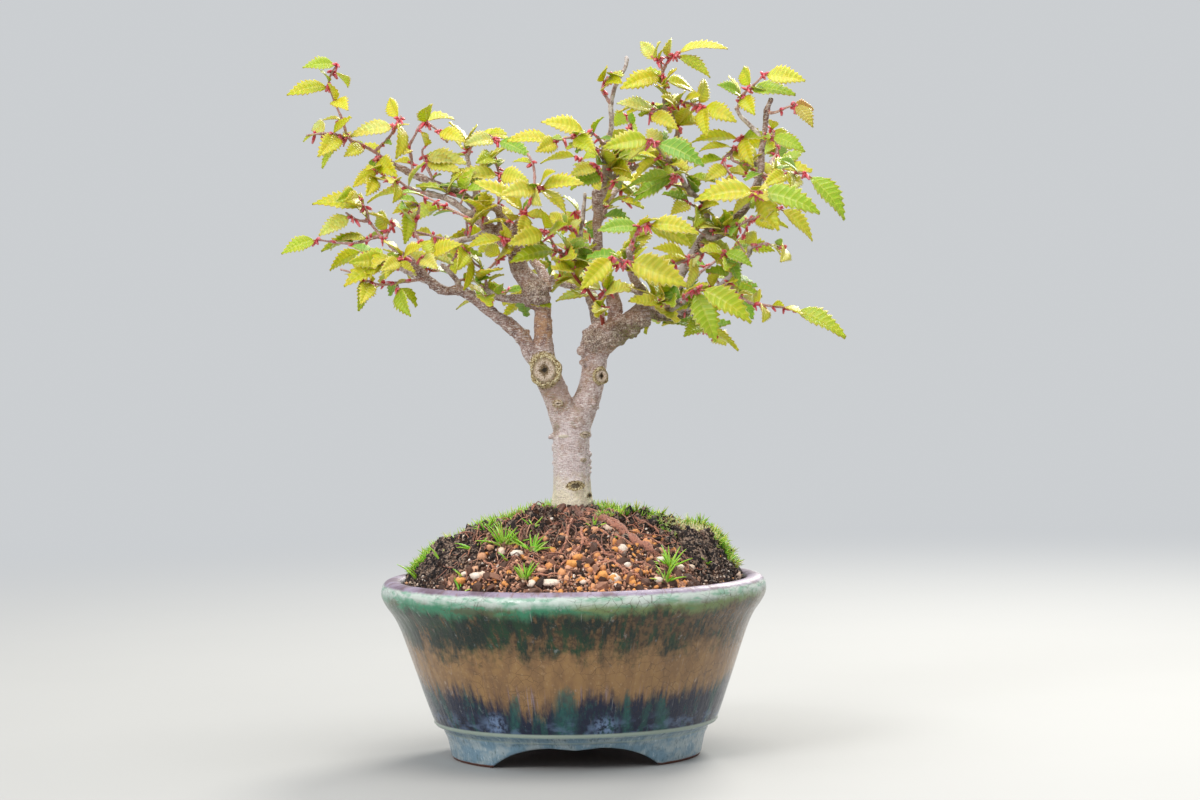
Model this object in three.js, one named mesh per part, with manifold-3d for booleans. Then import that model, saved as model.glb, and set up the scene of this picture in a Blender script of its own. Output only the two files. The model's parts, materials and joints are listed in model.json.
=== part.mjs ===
// Japanese zelkova bonsai in a round glazed pot on three feet.
// Millimetres, +Z up, origin on the table under the middle of the pot, seen from -Y.
import * as THREE from 'three';
import { mergeVertices } from 'three/addons/utils/BufferGeometryUtils.js';
import Module from 'manifold-3d';

const wasm = await Module();
wasm.setup();

// Driving dimensions
const GAP = 0.32;            // clearance between pieces that touch
const SIDES = 24;            // of the pot and of the soil in it
const FLOOR_Z = 10.5;        // top of the pot's floor
const UNDERSIDE_Z = 6.6;     // recess inside the foot ring
const DRAIN_RADIUS = 6;
const FOOT_RADIUS = 35.5;    // foot ring, outside
const FOOT_INNER_RADIUS = 30;
const ARCH_AZIMUTHS = [-90, 30, 150];
const ARCH_HALF_WIDTH = 23.5;
const ARCH_HEIGHT = 6.3;
const MESH_SIDE = 22;        // drain mesh over the hole
const MESH_THICKNESS = 1;
const MESH_PITCH = 8.5;
const MESH_HOLE = 6.5;
const SOIL_RIM_Z = 50;
const SOIL_TOP_Z = 70;
const SOIL_CURVE = 2.2;      // how flat the mound's crown is
const BLADE_THICKNESS = 0.6;
const BLADE_WIDTH = 0.45;    // of a leaf's length
const BLADE_ARCH = 0.09;
const BLADE_FOLD = 0.22;
const FOOT_SPACING = 1.5;    // leaves that stand closer together may cross near their feet

// Outer wall of the pot from the foot to the lip, as radius and height
const POT_OUTSIDE = [
  [FOOT_RADIUS, 0], [36.1, 1.2], [37.1, 5.6], [38.4, 8], [40.4, 10],
  [49.9, 37.3], [53.2, 42.6], [55, 46], [55, 48.8], [53.6, 50.8],
];
const POT_INSIDE = [[49.4, 50.8], [48.6, 49.4], [47.4, 40], [39.4, 18], [35, 12], [32, FLOOR_Z]];

// Limbs as x, y, z and radius, each starting inside the wood that carries it
const LIMBS = {
  trunk: [[0, 0, 50, 4], [0, 0, 60, 5.6], [0, 0, 67, 6.4], [0, 0, 71, 6.1], [0, 0, 78.5, 5.3],
    [0, 0, 90, 5.2], [0.4, 0, 96, 5.6], [0.5, 0, 99, 4.4]],
  root_front: [[-1, 0, 71, 3.6], [-3, -7, 67, 2.2], [-4, -13, 63, 1.3]],
  root_right: [[1, 0, 71, 3.4], [7, -4, 67.5, 2], [11, -8, 63.5, 1.2]],
  left_trunk: [[-1.2, -1, 95, 4.6], [-4.3, -2, 103.5, 4], [-7, -3, 110.5, 4.2], [-7.5, -3, 117, 3.1],
    [-7.5, -3, 129, 2.5], [-9, -3, 132, 3.6], [-11.5, -3, 136, 3], [-14, -3, 139.5, 2.8],
    [-15, -3, 145.5, 2.5], [-17.5, -3, 150.5, 2.2], [-18.5, -3, 155.5, 2]],
  right_trunk: [[1.8, 1, 95.5, 4.6], [5.3, 2, 103.5, 3.9], [6.8, 2, 110, 3.7], [7, 2, 114.5, 4.2],
    [8.5, 2, 118.5, 5.2], [12, 1, 120.5, 4.4], [16, 0, 122.5, 3.5], [20.5, -1, 126, 3.3],
    [22.5, -2, 129, 2.8]],
  low_left: [[-7, -3, 110.5, 2.6], [-11, -4, 115, 2.4], [-13, -5, 119.5, 2], [-16, -5, 122.5, 2.3],
    [-20.5, -6, 126, 1.7], [-23.5, -6, 128.5, 1.8], [-30.5, -7, 133.5, 1.5], [-35, -8, 133.5, 1.5],
    [-40, -9, 137, 1.4], [-45, -9, 142.5, 1.2], [-49.5, -9, 145.5, 1.1]],
  low_left_back: [[-38, -8.5, 135.5, 1.1], [-45, 6, 138.5, 1], [-52, 20, 142, 0.8]],
  low_left_up: [[-32.5, -7, 133.5, 1.2], [-31.5, -6, 136, 1], [-36, -5, 141, 0.7]],
  collar_twig: [[-9, -3, 131, 1.6], [-15.5, -6, 131, 1.3], [-18.5, -9, 131, 1.2],
    [-22, -10, 132.5, 1.1], [-23.5, -10, 134, 0.9]],
  collar_riser: [[-23.5, -6, 128.5, 1.2], [-22.5, -9, 131.5, 1], [-22, -10, 133, 0.9]],
  upper_left: [[-17.5, -3, 150.5, 1.9], [-21.5, -2, 151, 1.6], [-25, -1, 155, 1.5],
    [-27, 0, 158.5, 1.4], [-30.5, 0, 161, 1.3], [-37.5, 1, 164, 1.2], [-46, 1, 168, 1.1],
    [-51.5, 0, 171, 0.9]],
  upper_left_low: [[-25, -1, 154.5, 1.2], [-28, -3, 155.5, 1.1], [-34, -5, 159.5, 1],
    [-40, -6, 161.5, 0.9]],
  left_spur: [[-21.5, -2, 151, 1.3], [-25.5, -3, 149, 1], [-29.5, -4, 148, 0.9], [-34, -5, 147.5, 0.9]],
  stub_left: [[-18.5, -3, 155, 1.8], [-20.5, -4, 157, 1.2], [-25, -6, 157.5, 0.9]],
  upper_left_back: [[-27, 0, 158.5, 1], [-26, 8, 164, 0.9], [-28, 12, 168.5, 0.8], [-29, 14, 173, 0.8]],
  riser: [[12, 1, 119, 2.6], [13, 2, 125, 2.2], [13, 3, 129, 2.3], [11.5, 4, 134, 1.9],
    [9.5, 5, 139.5, 1.6], [8.5, 5, 145, 1.5], [8.5, 5, 152.5, 1.4], [8.5, 5, 158.5, 1.6],
    [8, 5, 161.5, 1.3]],
  riser_top: [[8.5, 5, 158, 1.2], [10.5, 4, 161.5, 1.2], [11, 3, 164.5, 1], [11, 2, 170.5, 0.9],
    [10.5, 1, 175.5, 0.8]],
  riser_side: [[11, 3, 164, 0.9], [12.5, 4, 167, 0.8]],
  red_twig: [[10, 1, 119, 1], [9.5, -2, 125, 0.9], [8.5, -4, 128, 0.9], [5.5, -6, 133, 0.7],
    [2.5, -7, 136, 0.7], [-0.5, -6, 141.5, 0.7]],
  inner_twig: [[9.5, 5, 139.5, 1.2], [7, 3, 141, 0.9], [4, -1, 139.5, 0.9], [1.5, -4, 141.5, 0.9],
    [-2, -6, 143.5, 0.8]],
  thin_riser: [[8.5, 5, 145.5, 0.8], [5, 6, 145, 0.7], [3.5, 7, 148, 0.7], [4.5, 8, 155, 0.7],
    [5, 8, 161, 0.6]],
  mid_up: [[-16.5, -3, 148.5, 1.3], [-13.5, -8, 153.5, 1.1]],
  fore_twig: [[22, -2, 129.5, 1.6], [20.5, -10, 133, 1.3], [17.5, -22, 137.5, 1.2]],
  fore_rise: [[18, -20, 137, 1], [17, -34, 144, 0.9]],
  fore_cross: [[21, -9, 132, 1.1], [17.5, -5, 133, 0.9], [14.5, 0, 134, 0.9], [11.5, 4, 134.5, 1]],
  fore_right: [[22.5, -2, 129, 1.4], [26, -9, 127, 1.1], [29, -16, 127.5, 1], [32, -23, 129.5, 1.2]],
  low_right: [[22, -1, 127.5, 1.8], [25, 1, 125.5, 1.4], [29, 2, 125, 1.3], [34.5, 2, 126.5, 1.2],
    [39.5, 1, 130, 1.1], [43.5, 0, 133.5, 1.2], [46, 0, 135.5, 1.3], [47.5, 0, 138.5, 1],
    [51.5, -1, 142.5, 0.9], [52, -2, 144.5, 0.9]],
  right_limb: [[22, -1, 128, 2.3], [28, 6, 132.5, 1.9], [34.5, 11, 140.5, 1.7], [38.5, 11, 147, 1.6],
    [42, 9, 150.5, 1.5], [47, 6, 152.5, 1.4], [51, 4, 156, 1.3], [53.5, 3, 160.5, 1.2],
    [55.5, 2, 166, 1.1], [56, 2, 172.5, 1], [57, 2, 178, 0.9], [57.5, 2, 183.5, 0.9],
    [59, 2, 187, 0.7]],
  right_fork: [[39.5, 11, 149, 1.1], [41.5, 2, 147, 0.9], [47, -2, 149.5, 0.9]],
  right_up: [[40, 9, 150.5, 1.1], [40, 6, 155, 1], [39, 3, 157.5, 0.9], [35, -2, 161, 0.9],
    [32, -8, 165, 0.8], [28.5, -16, 170, 0.8]],
  right_spur: [[56, 2, 168, 0.9], [52, 4, 169, 0.8]],
  right_side: [[56.5, 2, 175.5, 0.8], [53.5, 4, 179, 0.8], [50.5, 6, 182, 0.7], [49, 7, 185, 0.7]],
  right_back: [[54, 3, 162, 1], [58, 16, 165, 0.9], [60, 27, 170, 0.8]],
  top_stem: [[11.5, 3, 165, 0.9], [21, 12, 169, 0.9], [28, 14, 173.5, 0.8], [32, 14, 177, 0.9],
    [32, 13, 182.5, 0.8], [29, 11, 185, 0.8], [28.5, 9, 189, 0.7]],
  bare_top: [[10.8, 1.5, 172, 0.8], [13, -2, 180, 0.8], [13, -4, 186, 0.8], [14.5, -5, 191.5, 0.7],
    [17, -6, 195.5, 0.6], [17.5, -6, 199, 0.6]],
  back_left: [[-8, -3, 131, 2], [-7, 12, 136, 1.7], [-10, 25, 141.5, 1.4], [-16, 36, 146, 1.1]],
  back_mid: [[9, 3, 118, 2.6], [8, 18, 126, 2.2], [6, 30, 133, 1.8], [6.5, 38, 140, 1.3]],
  back_mid_left: [[6, 30, 133, 1.3], [-3, 37, 135.5, 1.1], [-10.5, 43, 135.5, 0.8]],
  back_right: [[28, 6, 132.5, 1.7], [32.5, 22, 134, 1.4], [38, 33, 137.5, 1.2]],
  back_low: [[24.5, 1, 128.5, 1.4], [28.5, 16, 125, 1.1], [33.5, 28, 123.5, 0.9]],
  back_top: [[8.5, 5, 152, 1.3], [11, 20, 158, 1.1], [15.5, 32, 164, 0.9]],
  back_up_left: [[-14, -3, 141.5, 1.6], [-20, 16, 148, 1.3], [-27, 30, 154, 1]],
};

// Callus rings round old pruning cuts: middle, radius and the way they face
const CALLUSES = [
  { middle: [-7, -6.4, 110.5], radius: 4.3, facing: [0, -1, 0] },
  { middle: [8.6, -1.6, 108.6], radius: 2.3, facing: [0.35, -0.94, 0] },
];

// Leafy shoots. Stems are lists of points. A leaf is the stem it grows on, the place along that
// stem counted in points, the step from there to its tip, and its roll from facing up (0) to
// facing the front (90).
const SHOOTS = {
  left_top: {
    stems: [[[-50.5, 0, 170.5], [-55.5, -1, 174], [-59, -3, 176], [-62, -4, 177.5], [-63.5, -5, 182.5],
      [-65.5, -6, 187.5], [-67, -7, 193], [-66, -7, 196], [-64.5, -8, 198]],
    [[-62, -4, 177.5], [-66, -8, 178.5], [-69.5, -10, 178.5], [-73, -12, 178]],
    [[-55, -1, 173.5], [-51, -2, 177], [-48.5, -3, 180.5], [-47, -3, 183.5]],
    [[-54, -0.5, 173], [-53.5, -3, 169], [-55, -5, 166.5]]],
    leaves: [[0, 8, -9.5, -4, -1, 50], [0, 5.8, -12, -4, -2.5, 45], [0, 7.1, 3.5, 9, -4, 20],
      [0, 5.1, 4.5, -9, -3.5, 30], [1, 0.6, -5.5, -9, -6.5, 45], [1, 0.2, -6.5, -3, -9, 15],
      [1, 1.6, -3.5, 8, 3.5, 50], [0, 1.7, -5, -7, -3.5, 55], [2, 2, -12, -3, -5.5, 45],
      [2, 2.5, -0.5, -8, -11, 65], [2, 2.7, -3, 6, 6.5, 60], [3, 0.4, 6, -9, -5.5, 60],
      [3, 1.3, -5.5, -6, -5, 50], [3, 2, -1.5, -9, -6, 45]],
  },
  twig_a: {
    stems: [[[-44, 1, 166.5], [-44.5, 2, 171.5], [-45, 2, 175], [-43.5, 2, 178], [-41, 2, 182],
      [-38, 1, 180.5], [-36, 0, 178.5], [-34, -1, 176]]],
    leaves: [[0, 4.4, 1, -11, 4.5, 35], [0, 5.7, 8, -6, -3.5, 50]],
  },
  left_tip_low: {
    stems: [[[-39, -6, 161], [-45, -7, 163], [-48, -9, 165], [-50.5, -10, 164.5]]],
    leaves: [[0, 2.2, -0.5, -7, -6.5, 60]],
  },
  left_spur: {
    stems: [[[-33, -5, 147.5], [-39.5, -7, 149.5], [-43.5, -9, 150.5], [-46.5, -9, 152.5]],
      [[-43.5, -9, 150.5], [-42.5, -8, 155], [-42, -8, 158], [-44.5, -10, 157.5], [-46, -11, 155.5]],
      [[-43.5, -9, 150.5], [-41.5, -11, 147], [-39, -12, 143.5], [-41.5, -14, 143]]],
    leaves: [[1, 2.1, -7, -5, -2.5, 40], [1, 3.5, -2, -9, -4.5, 50], [2, 2.2, 10, -6, 3, 60],
      [2, 2.9, 5, -8, -3.5, 45]],
  },
  low_left_end: {
    stems: [[[-49, -9, 145.2], [-53.5, -9, 150], [-56, -9, 153.5], [-57, -10, 157], [-59.5, -9, 161]],
      [[-56, -9, 153.5], [-59.5, -11, 154], [-62.5, -12, 156]],
      [[-53, -9, 149.5], [-59.5, -12, 147.5], [-64.5, -13, 147.5], [-70.5, -14, 148.5]],
      [[-52, -9, 148.5], [-50.5, -6, 151.5], [-50, -4, 154.5]]],
    leaves: [[0, 3.1, -14.5, -5, 1, 40], [0, 3.7, -7, -7, -4.5, 65], [0, 4, -5, -11, -2, 60],
      [1, 1.5, -9, -4, -5.5, 55], [2, 3, -10, -3, -4, 50], [2, 0.4, -14.5, 3, -3.5, -20],
      [3, 0.7, -3, 8, 6, 60], [3, 1.5, 3, 9, -3.5, 50]],
  },
  low_left_mid: {
    stems: [[[-46, -9, 143.2], [-46.5, -13, 143], [-47.5, -16, 142]],
      [[-46.5, -11, 143.2], [-49.5, -13, 144], [-51.5, -14, 142.5]]],
    leaves: [[0, 1.7, -5, -8, -3, 55], [0, 1.6, -4, -6, -5.5, 10], [0, 1, 6, -8, 3, 60],
      [1, 1.8, -10.5, -5, -1, 75], [1, 2, -11.5, -4, -7.5, 50]],
  },
  low_left_out: {
    stems: [[[-40, -9, 137], [-44.5, -11, 136.5], [-48.5, -12, 136], [-53, -13, 135.5], [-57.5, -15, 137],
      [-61, -15, 139], [-64, -15, 140]],
    [[-48.5, -12, 136], [-48, -14, 134]]],
    leaves: [[0, 4.1, -3, -5, -8, 60], [0, 3.6, -2.5, -8, -6.5, 35], [0, 2.8, -5.5, 8, -4.5, 20],
      [1, 0.8, 4, -7, -8, 70]],
  },
  collar_tip: {
    stems: [[[-23, -10, 133.4], [-24, -10, 139], [-27, -10, 141.5], [-28.5, -12, 144.5], [-30, -13, 146]],
      [[-24, -10, 138], [-20.5, -6, 141.5], [-18.5, -4, 143.5]]],
    leaves: [[0, 3, -1, -6, -11, 80], [0, 3.6, -6.5, -9, -2.5, 50], [1, 1.9, -5, 8, 2.5, 60],
      [1, 1.3, 4, -9, 2, 55]],
  },
  trunk_shoot: {
    stems: [[[-15.5, -3, 146], [-17, -8, 147.5], [-18, -13, 148]]],
    leaves: [[0, 1.8, -10.5, -4, -2.5, 35], [0, 1.4, 11.5, -3, -2, 35], [0, 2, -0.5, -10, 4.5, 55]],
  },
  inner_end: {
    stems: [[[-1.2, -5.6, 143], [-3, -9, 144.5], [-5, -13, 148], [-6.5, -15, 150]]],
    leaves: [[0, 1, -13.5, -4, -3.5, 45], [0, 2.8, -11, -5, -1, 70], [0, 2.2, 5.5, -9, 3, 55],
      [0, 3, -1, -11, 3.5, 50]],
  },
  star: {
    stems: [[[-14, -7.2, 152.6], [-11, -12, 157.5], [-9, -16, 161], [-7.5, -19, 162]],
      [[-9.5, -15, 160.5], [-9, -12, 165], [-9.5, -11, 169], [-11, -10, 172]],
      [[-12.8, -9.2, 154.6], [-11.5, -12, 155]]],
    leaves: [[0, 3, 12.5, -5, 0.5, 45], [0, 2.6, -10.5, -7, -2, 60], [0, 2.8, 7.5, -5, -7.5, 15],
      [0, 2.3, 1.5, -8, -6.5, 75], [0, 3, 2.5, -9, 4, 55], [2, 0.9, -14.5, -3, 9, 40],
      [2, 1, -4.5, -6, -6.5, 50]],
  },
  mid_left_rise: {
    stems: [[[-19.5, -3.6, 156], [-19.5, 0, 161], [-18.5, 1, 165], [-20, 4, 168.5], [-21, 6, 172]]],
    leaves: [[0, 2.3, -14, -3, 0, 40], [0, 2.5, 8.5, -8, -2.5, 65], [0, 3.9, -5, -10, -2, 50]],
  },
  twig_b: {
    stems: [[[-37.5, 1, 163.5], [-40, 3, 169], [-41.5, 4, 173.5], [-40.5, 2, 175]]],
    leaves: [[0, 1.7, 12.5, -5, -2.5, 45], [0, 1.4, 9.5, -6, -6, 50]],
  },
  upper_back_tip: {
    stems: [[[-28.8, 13.6, 172], [-28, 14, 175], [-27, 14, 178], [-24, 12, 179], [-20, 7, 176.5]]],
    leaves: [[0, 3.8, -8, -8, -4.5, 50], [0, 4, 9.5, -5, -5, 45]],
  },
  riser_left_top: {
    stems: [[[10.7, 1.3, 174.5], [7.5, -6, 177.5], [2.5, -12, 176.5], [-3.5, -16, 175]]],
    leaves: [[0, 3, -13, -3, 0, 40], [0, 1.3, -13, -3, 3.5, 55], [0, 2, 6, -9, -5.5, 45],
      [0, 2.9, -5.5, -9, -3.5, 65]],
  },
  riser_left: {
    stems: [[[11, 3, 165.4], [9.5, -2, 166.5], [8.5, -5, 168.5]]],
    leaves: [[0, 1.7, -8, -6, -2.5, 50], [0, 0.8, -8, -8, -3.5, 60]],
  },
  riser_side_tip: {
    stems: [[[12.2, 3.8, 166.4], [14, 5, 171], [15.5, 3, 174]]],
    leaves: [[0, 1.6, 7, -8, -3, 55], [0, 0.8, 3, -9, -5.5, 60]],
  },
  right_fore_low: {
    stems: [[[32.5, -7, 164.3], [31, -14, 165], [29.5, -20, 165]]],
    leaves: [[0, 1.6, -13, -4, -3.5, -30], [0, 0.8, -12.5, 6, -7, 60]],
  },
  fore_mid: {
    stems: [[[17.1, -33, 143.6], [19, -42, 148], [20.5, -47, 150], [22, -49, 150.5]]],
    leaves: [[0, 1.9, -12, -4, -1, 50], [0, 3, 14, -2, -3, 45], [0, 2.6, 12.5, 3, -6, 60]],
  },
  fore_top: {
    stems: [[[29.2, -14.6, 169], [26, -21, 172], [24.5, -27, 174], [23.5, -30, 174.5]]],
    leaves: [[0, 2.8, -13.5, -4, -2.5, 60], [0, 1.8, 13.5, -4, -7, 50], [0, 2.3, -7, 7, -5.5, 60]],
  },
  top_left: {
    stems: [[[13, -4, 185.6], [11.5, -5, 188], [10.5, -6, 189.5], [11, -7, 192], [13, -8, 193.5]]],
    leaves: [[0, 2.9, 1, -9, 3.5, 50], [0, 3.6, 4, -9, -2, 50]],
  },
  top: {
    stems: [[[28.5, 9.2, 188.6], [28.5, 8, 192.5], [28, 7, 195], [27.5, 5, 197.5], [26, 4, 199.5]],
      [[28, 7, 195.5], [29.5, 6, 198.5], [31, 4, 200], [32, 3, 200.5]]],
    leaves: [[0, 3.5, -5, 4, 6, 70], [0, 3.7, 1, -7, 4.5, 65], [0, 1.8, -12.5, -5, -4, 55],
      [0, 1.2, 9, 8, -3, 50], [1, 2.6, 15, -3, 1, 25], [1, 2.2, 10.5, 4, -6.5, -20]],
  },
  top_low: {
    stems: [[[32, 13, 181.8], [32, 10, 184], [29, 8, 184.5], [26, 5, 184.5], [23.5, 2, 183]],
      [[30.5, 9, 184.3], [33, 7, 186.5], [36.5, 4, 186], [39.5, 2, 185]]],
    leaves: [[0, 3.2, -11, -4, 2, 50], [0, 3.8, 8, -6, -5, 50], [1, 0.3, -4, -9, 3, 60],
      [1, 1.2, 5, -8, 1.5, 45], [1, 2.9, 9.5, -6, -5, 60], [1, 2.9, 1, -5, -9, 40],
      [1, 2.5, 2, 7, 8, 60]],
  },
  right_top: {
    stems: [[[49.3, 6.8, 184], [50.5, 5, 187.5], [52, 3, 189.5], [54.5, 1, 191.5], [56.5, 0, 193.5]]],
    leaves: [[0, 1.2, -7.5, -7, 3, 60], [0, 2.1, 13.5, -4, -2, 40], [0, 4, 12, -3, -2, 65],
      [0, 1.2, 3.5, -9, -4, 40], [0, 2.5, -2, 9, 4.5, 60]],
  },
  right_spur: {
    stems: [[[52.8, 3.6, 168.8], [48, 5, 169.5], [47.5, 6, 172.5], [49.5, 7, 174], [50.5, 5, 176.5]],
      [[47.5, 6, 172], [45, 4, 170], [46, 2, 167], [48, 1, 164], [50, 0, 162.5]]],
    leaves: [[0, 3.7, -14, 4, -0.5, -25], [0, 2.5, -10.5, -5, -1, 20], [0, 4, 3, -5, -9, 65],
      [1, 1.7, -6.5, -7, -4.5, 50], [1, 2.5, -4.5, -8, -6, 60]],
  },
  right_mid: {
    stems: [[[56.6, 2, 176.6], [57.5, -1, 176.5], [59, -2, 176]]],
    leaves: [[0, 1.6, 9.5, -4, -5, 50]],
  },
  right_red: {
    stems: [[[57.5, 2, 183], [60, 0, 183], [62.5, -2, 184], [65.5, -3, 185]]],
    leaves: [[0, 3, 4.5, -5, -7, 30], [0, 2.7, 6.5, 6, -1, 60]],
  },
  right_out: {
    stems: [[[55.2, 2, 165.4], [58, -1, 165], [61, -3, 165.5], [65, -4, 165.5], [68.5, -5, 165]]],
    leaves: [[0, 3.2, -5.5, -9, 3.5, 60], [0, 3.9, 10.5, -2, -13.5, 40], [0, 1.4, -1, 8, 4.5, 60],
      [0, 2.5, -7.5, -7, -4, 50], [0, 2.8, 1.5, -9, -5.5, 45]],
  },
  right_fore: {
    stems: [[[53, 3, 159.4], [53, -10, 159], [53.5, -22, 159.5], [53, -32, 159.5]],
      [[53, -12, 159], [56.5, -20, 157.5], [59, -24, 155]]],
    leaves: [[0, 2.5, 17, -2, -6.5, 50], [0, 2, 5.5, -4, -11, 60], [0, 2.5, -18, -3, -2.5, 45],
      [0, 1.8, -7, -5, -6, -60], [1, 2, 9.5, 2, -9.5, 50]],
  },
  fore_low: {
    stems: [[[31.6, -22, 129.2], [34, -27, 132], [36, -31, 133]]],
    leaves: [[0, 2, 14.5, -3, -10, 50], [0, 1.6, 8, -5, -13, 60]],
  },
  low_right_in: {
    stems: [[[34.5, 2, 126.5], [37.5, 5, 124], [39.5, 8, 121.5]]],
    leaves: [[0, 1.9, -12.5, 3, 1.5, 30], [0, 1.3, -5.5, -9, -4, 45]],
  },
  low_right_up: {
    stems: [[[47.4, 0, 138.2], [46, -3, 141.5], [44, -5, 143.5]]],
    leaves: [[0, 1.9, 8, -4, -4.5, 40], [0, 1.5, 3.5, -3, -9, 15]],
  },
  low_right_tip: {
    stems: [[[51.9, -1.8, 144.2], [56, -3, 145.5], [59.5, -3, 144.5], [61.5, -5, 144.5]]],
    leaves: [[0, 2.9, -1.5, -10, -4.5, 60], [0, 0.5, -2, 8, 4, 50]],
  },
  low_right_drop: {
    stems: [[[45.2, 0, 134.8], [48.5, -2, 131], [52, -4, 128.5], [55.5, -5, 128], [58.5, -6, 127.5],
      [62.5, -6, 127], [64.5, -6, 126.5]]],
    leaves: [[0, 2.9, -0.5, -8, -5, 50], [0, 2.7, -0.5, 9, 3.5, 50], [0, 5.7, 14.5, -3, -8.5, 35]],
  },
  fore_twig_tip: {
    stems: [[[17.8, -21, 137], [15, -30, 140.5], [12.5, -35, 142]],
      [[15, -29, 140.3], [16.5, -34, 141]]],
    leaves: [[0, 2, -9, -4, -9, 65], [1, 1, 16.5, -4, -7.5, 70]],
  },
  right_in: {
    stems: [[[38.3, 11, 146.4], [38.5, 2, 143.5], [36.5, -4, 142.5], [33, -9, 141], [29, -12, 139.5]]],
    leaves: [[0, 2.3, -2, -6, -9, 70], [0, 2.7, -10, -7, 3, 50], [0, 1, 4.5, 9, -3.5, 50]],
  },
  right_fork_tip: {
    stems: [[[46, -1.3, 149], [51, -4, 152], [54, -5, 153], [55.5, -6, 154]]],
    leaves: [[0, 2.6, 5.5, 9, 3, 50], [0, 2.1, 4, -8, -4, 50]],
  },
  right_up_side: {
    stems: [[[39.8, 5.2, 155.4], [37.5, 1, 156], [34.5, -3, 157.5]]],
    leaves: [[0, 1.1, -1.5, -9, -6, 60], [0, 1.9, -5.5, -8, -3.5, 40], [0, 0.8, 5, -8, 3, 50]],
  },
  thin_tip: {
    stems: [[[3.6, 7, 147], [1.5, 5, 150.5], [-1.5, 3, 151.5]]],
    leaves: [[0, 1.9, -4, 8, 4, 50], [0, 1.5, 3.5, 10, 3.5, 50]],
  },
  back_left_inner: {
    stems: [[[-7, 11, 135.7], [-9, 14, 133], [-12, 16, 130.5]]],
    leaves: [[0, 1.9, -8, 3, -5.5, -30], [0, 1.1, -8.5, 6, 0.5, 40]],
  },
  back_mid_inner: {
    stems: [[[7, 24, 129.5], [10, 20, 131], [10.5, 16, 133]]],
    leaves: [[0, 1, -14, -6, -1, 20], [0, 1.7, -14.5, 6, 1, 25]],
  },
};

// Shoots on the side away from the front: stems, with how many leaves each one carries
const BACK_SHOOTS = {
  back_left: { stems: [[[-15.5, 35, 145.6], [-20, 40, 148], [-26, 43, 150]]], counts: [3] },
  back_mid: {
    stems: [[[6.4, 37, 139], [8, 42, 146], [6, 44, 152], [2, 46, 157]],
      [[6.9, 39, 141.5], [14, 43, 141], [20, 44.5, 142]]],
    counts: [3, 2],
  },
  back_mid_left: { stems: [[[-9.5, 42.4, 135.5], [-17, 44, 134], [-24, 44, 131]]], counts: [2] },
  back_right: {
    stems: [[[37.5, 32, 137], [46, 40, 143], [51, 42, 147], [54, 43, 153]],
      [[40.5, 35, 139], [45, 37, 134], [50, 38, 131]]],
    counts: [3, 2],
  },
  back_low: { stems: [[[33, 27, 123.6], [38, 32, 122], [44, 35, 119]]], counts: [2] },
  back_top: {
    stems: [[[15, 31, 163.4], [19, 37, 172], [20, 40, 178], [18, 41, 185]],
      [[16, 33, 165.5], [9, 37, 168], [3, 39, 173]]],
    counts: [3, 2],
  },
  back_up_left: {
    stems: [[[-26.5, 29, 153.6], [-34.5, 37, 157.5], [-41, 40, 161], [-48, 41, 164]],
      [[-30, 33, 155.5], [-31, 36, 149], [-36, 39, 146]]],
    counts: [2, 2],
  },
  low_left_back: { stems: [[[-51.5, 19, 141.8], [-56, 27, 144], [-61, 32, 146]]], counts: [2] },
  right_back: { stems: [[[59.8, 26.2, 169.6], [62, 33, 174], [61, 37, 180]]], counts: [3] },
};

// Moss banks on the mound: arc in degrees, distance from the middle, height of the bank's middle
// over the mound, steps along the arc
const MOSSES = {
  moss_left: { from: 112, to: 222, reach: 40, lift: 0.2, steps: 5, seed: 5 },
  moss_right: { from: -35, to: 35, reach: 39, lift: 1.4, steps: 3, seed: 9 },
};

// Grass tufts: where they stand, how high, with how many blades
const TUFTS = {
  grass_left: { foot: [-19, -26], height: 11, blades: 5, seed: 7 },
  grass_front: { foot: [-11, -34], height: 7, blades: 4, seed: 11 },
  grass_right: { foot: [27, -31], height: 9, blades: 4, seed: 23 },
};

// Turns tried for a leaf, in degrees of heading and lift, until it hangs clear of its neighbours
const LEAF_TURNS = [
  [0, 0], [0, 12], [0, -12], [14, 0], [-14, 0], [13, 13], [-13, 13], [13, -13], [-13, -13],
  [0, 25], [0, -25], [28, 0], [-28, 0], [26, 20], [-26, 20], [26, -20], [-26, -20], [45, 0], [-45, 0],
  [0, 45], [0, -45], [60, 15], [-60, 15],
];
const LEAF_SIZES = [1, 0.8];

const MATERIALS = {
  glaze: new THREE.MeshStandardMaterial({ name: 'glaze', color: 0x4c6a63, roughness: 0.25, metalness: 0 }),
  mesh: new THREE.MeshStandardMaterial({ name: 'mesh', color: 0x2b2b2b, roughness: 0.6, metalness: 0 }),
  soil: new THREE.MeshStandardMaterial({ name: 'soil', color: 0x6f5138, roughness: 0.95, metalness: 0 }),
  moss: new THREE.MeshStandardMaterial({ name: 'moss', color: 0x7c8f35, roughness: 0.95, metalness: 0 }),
  grass: new THREE.MeshStandardMaterial({ name: 'grass', color: 0x6f9a3a, roughness: 0.7, metalness: 0 }),
  bark: new THREE.MeshStandardMaterial({ name: 'bark', color: 0x9a7f6c, roughness: 0.9, metalness: 0 }),
  leaf: new THREE.MeshStandardMaterial({ name: 'leaf', color: 0xb7bf3a, roughness: 0.55, metalness: 0 }),
};

// Repeatable random draws
function makeRandom(seed) {
  let state = seed;
  return () => {
    state = (state * 16807) % 2147483647;
    return state / 2147483647;
  };
}

function toSolid(geometry) {
  const bare = new THREE.BufferGeometry();
  bare.setAttribute('position', geometry.getAttribute('position'));
  bare.setIndex(geometry.getIndex());
  const merged = mergeVertices(bare, 1e-4);
  return new wasm.Manifold(new wasm.Mesh({
    numProp: 3,
    vertProperties: new Float32Array(merged.getAttribute('position').array),
    triVerts: new Uint32Array(merged.getIndex().array),
  }));
}

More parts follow.
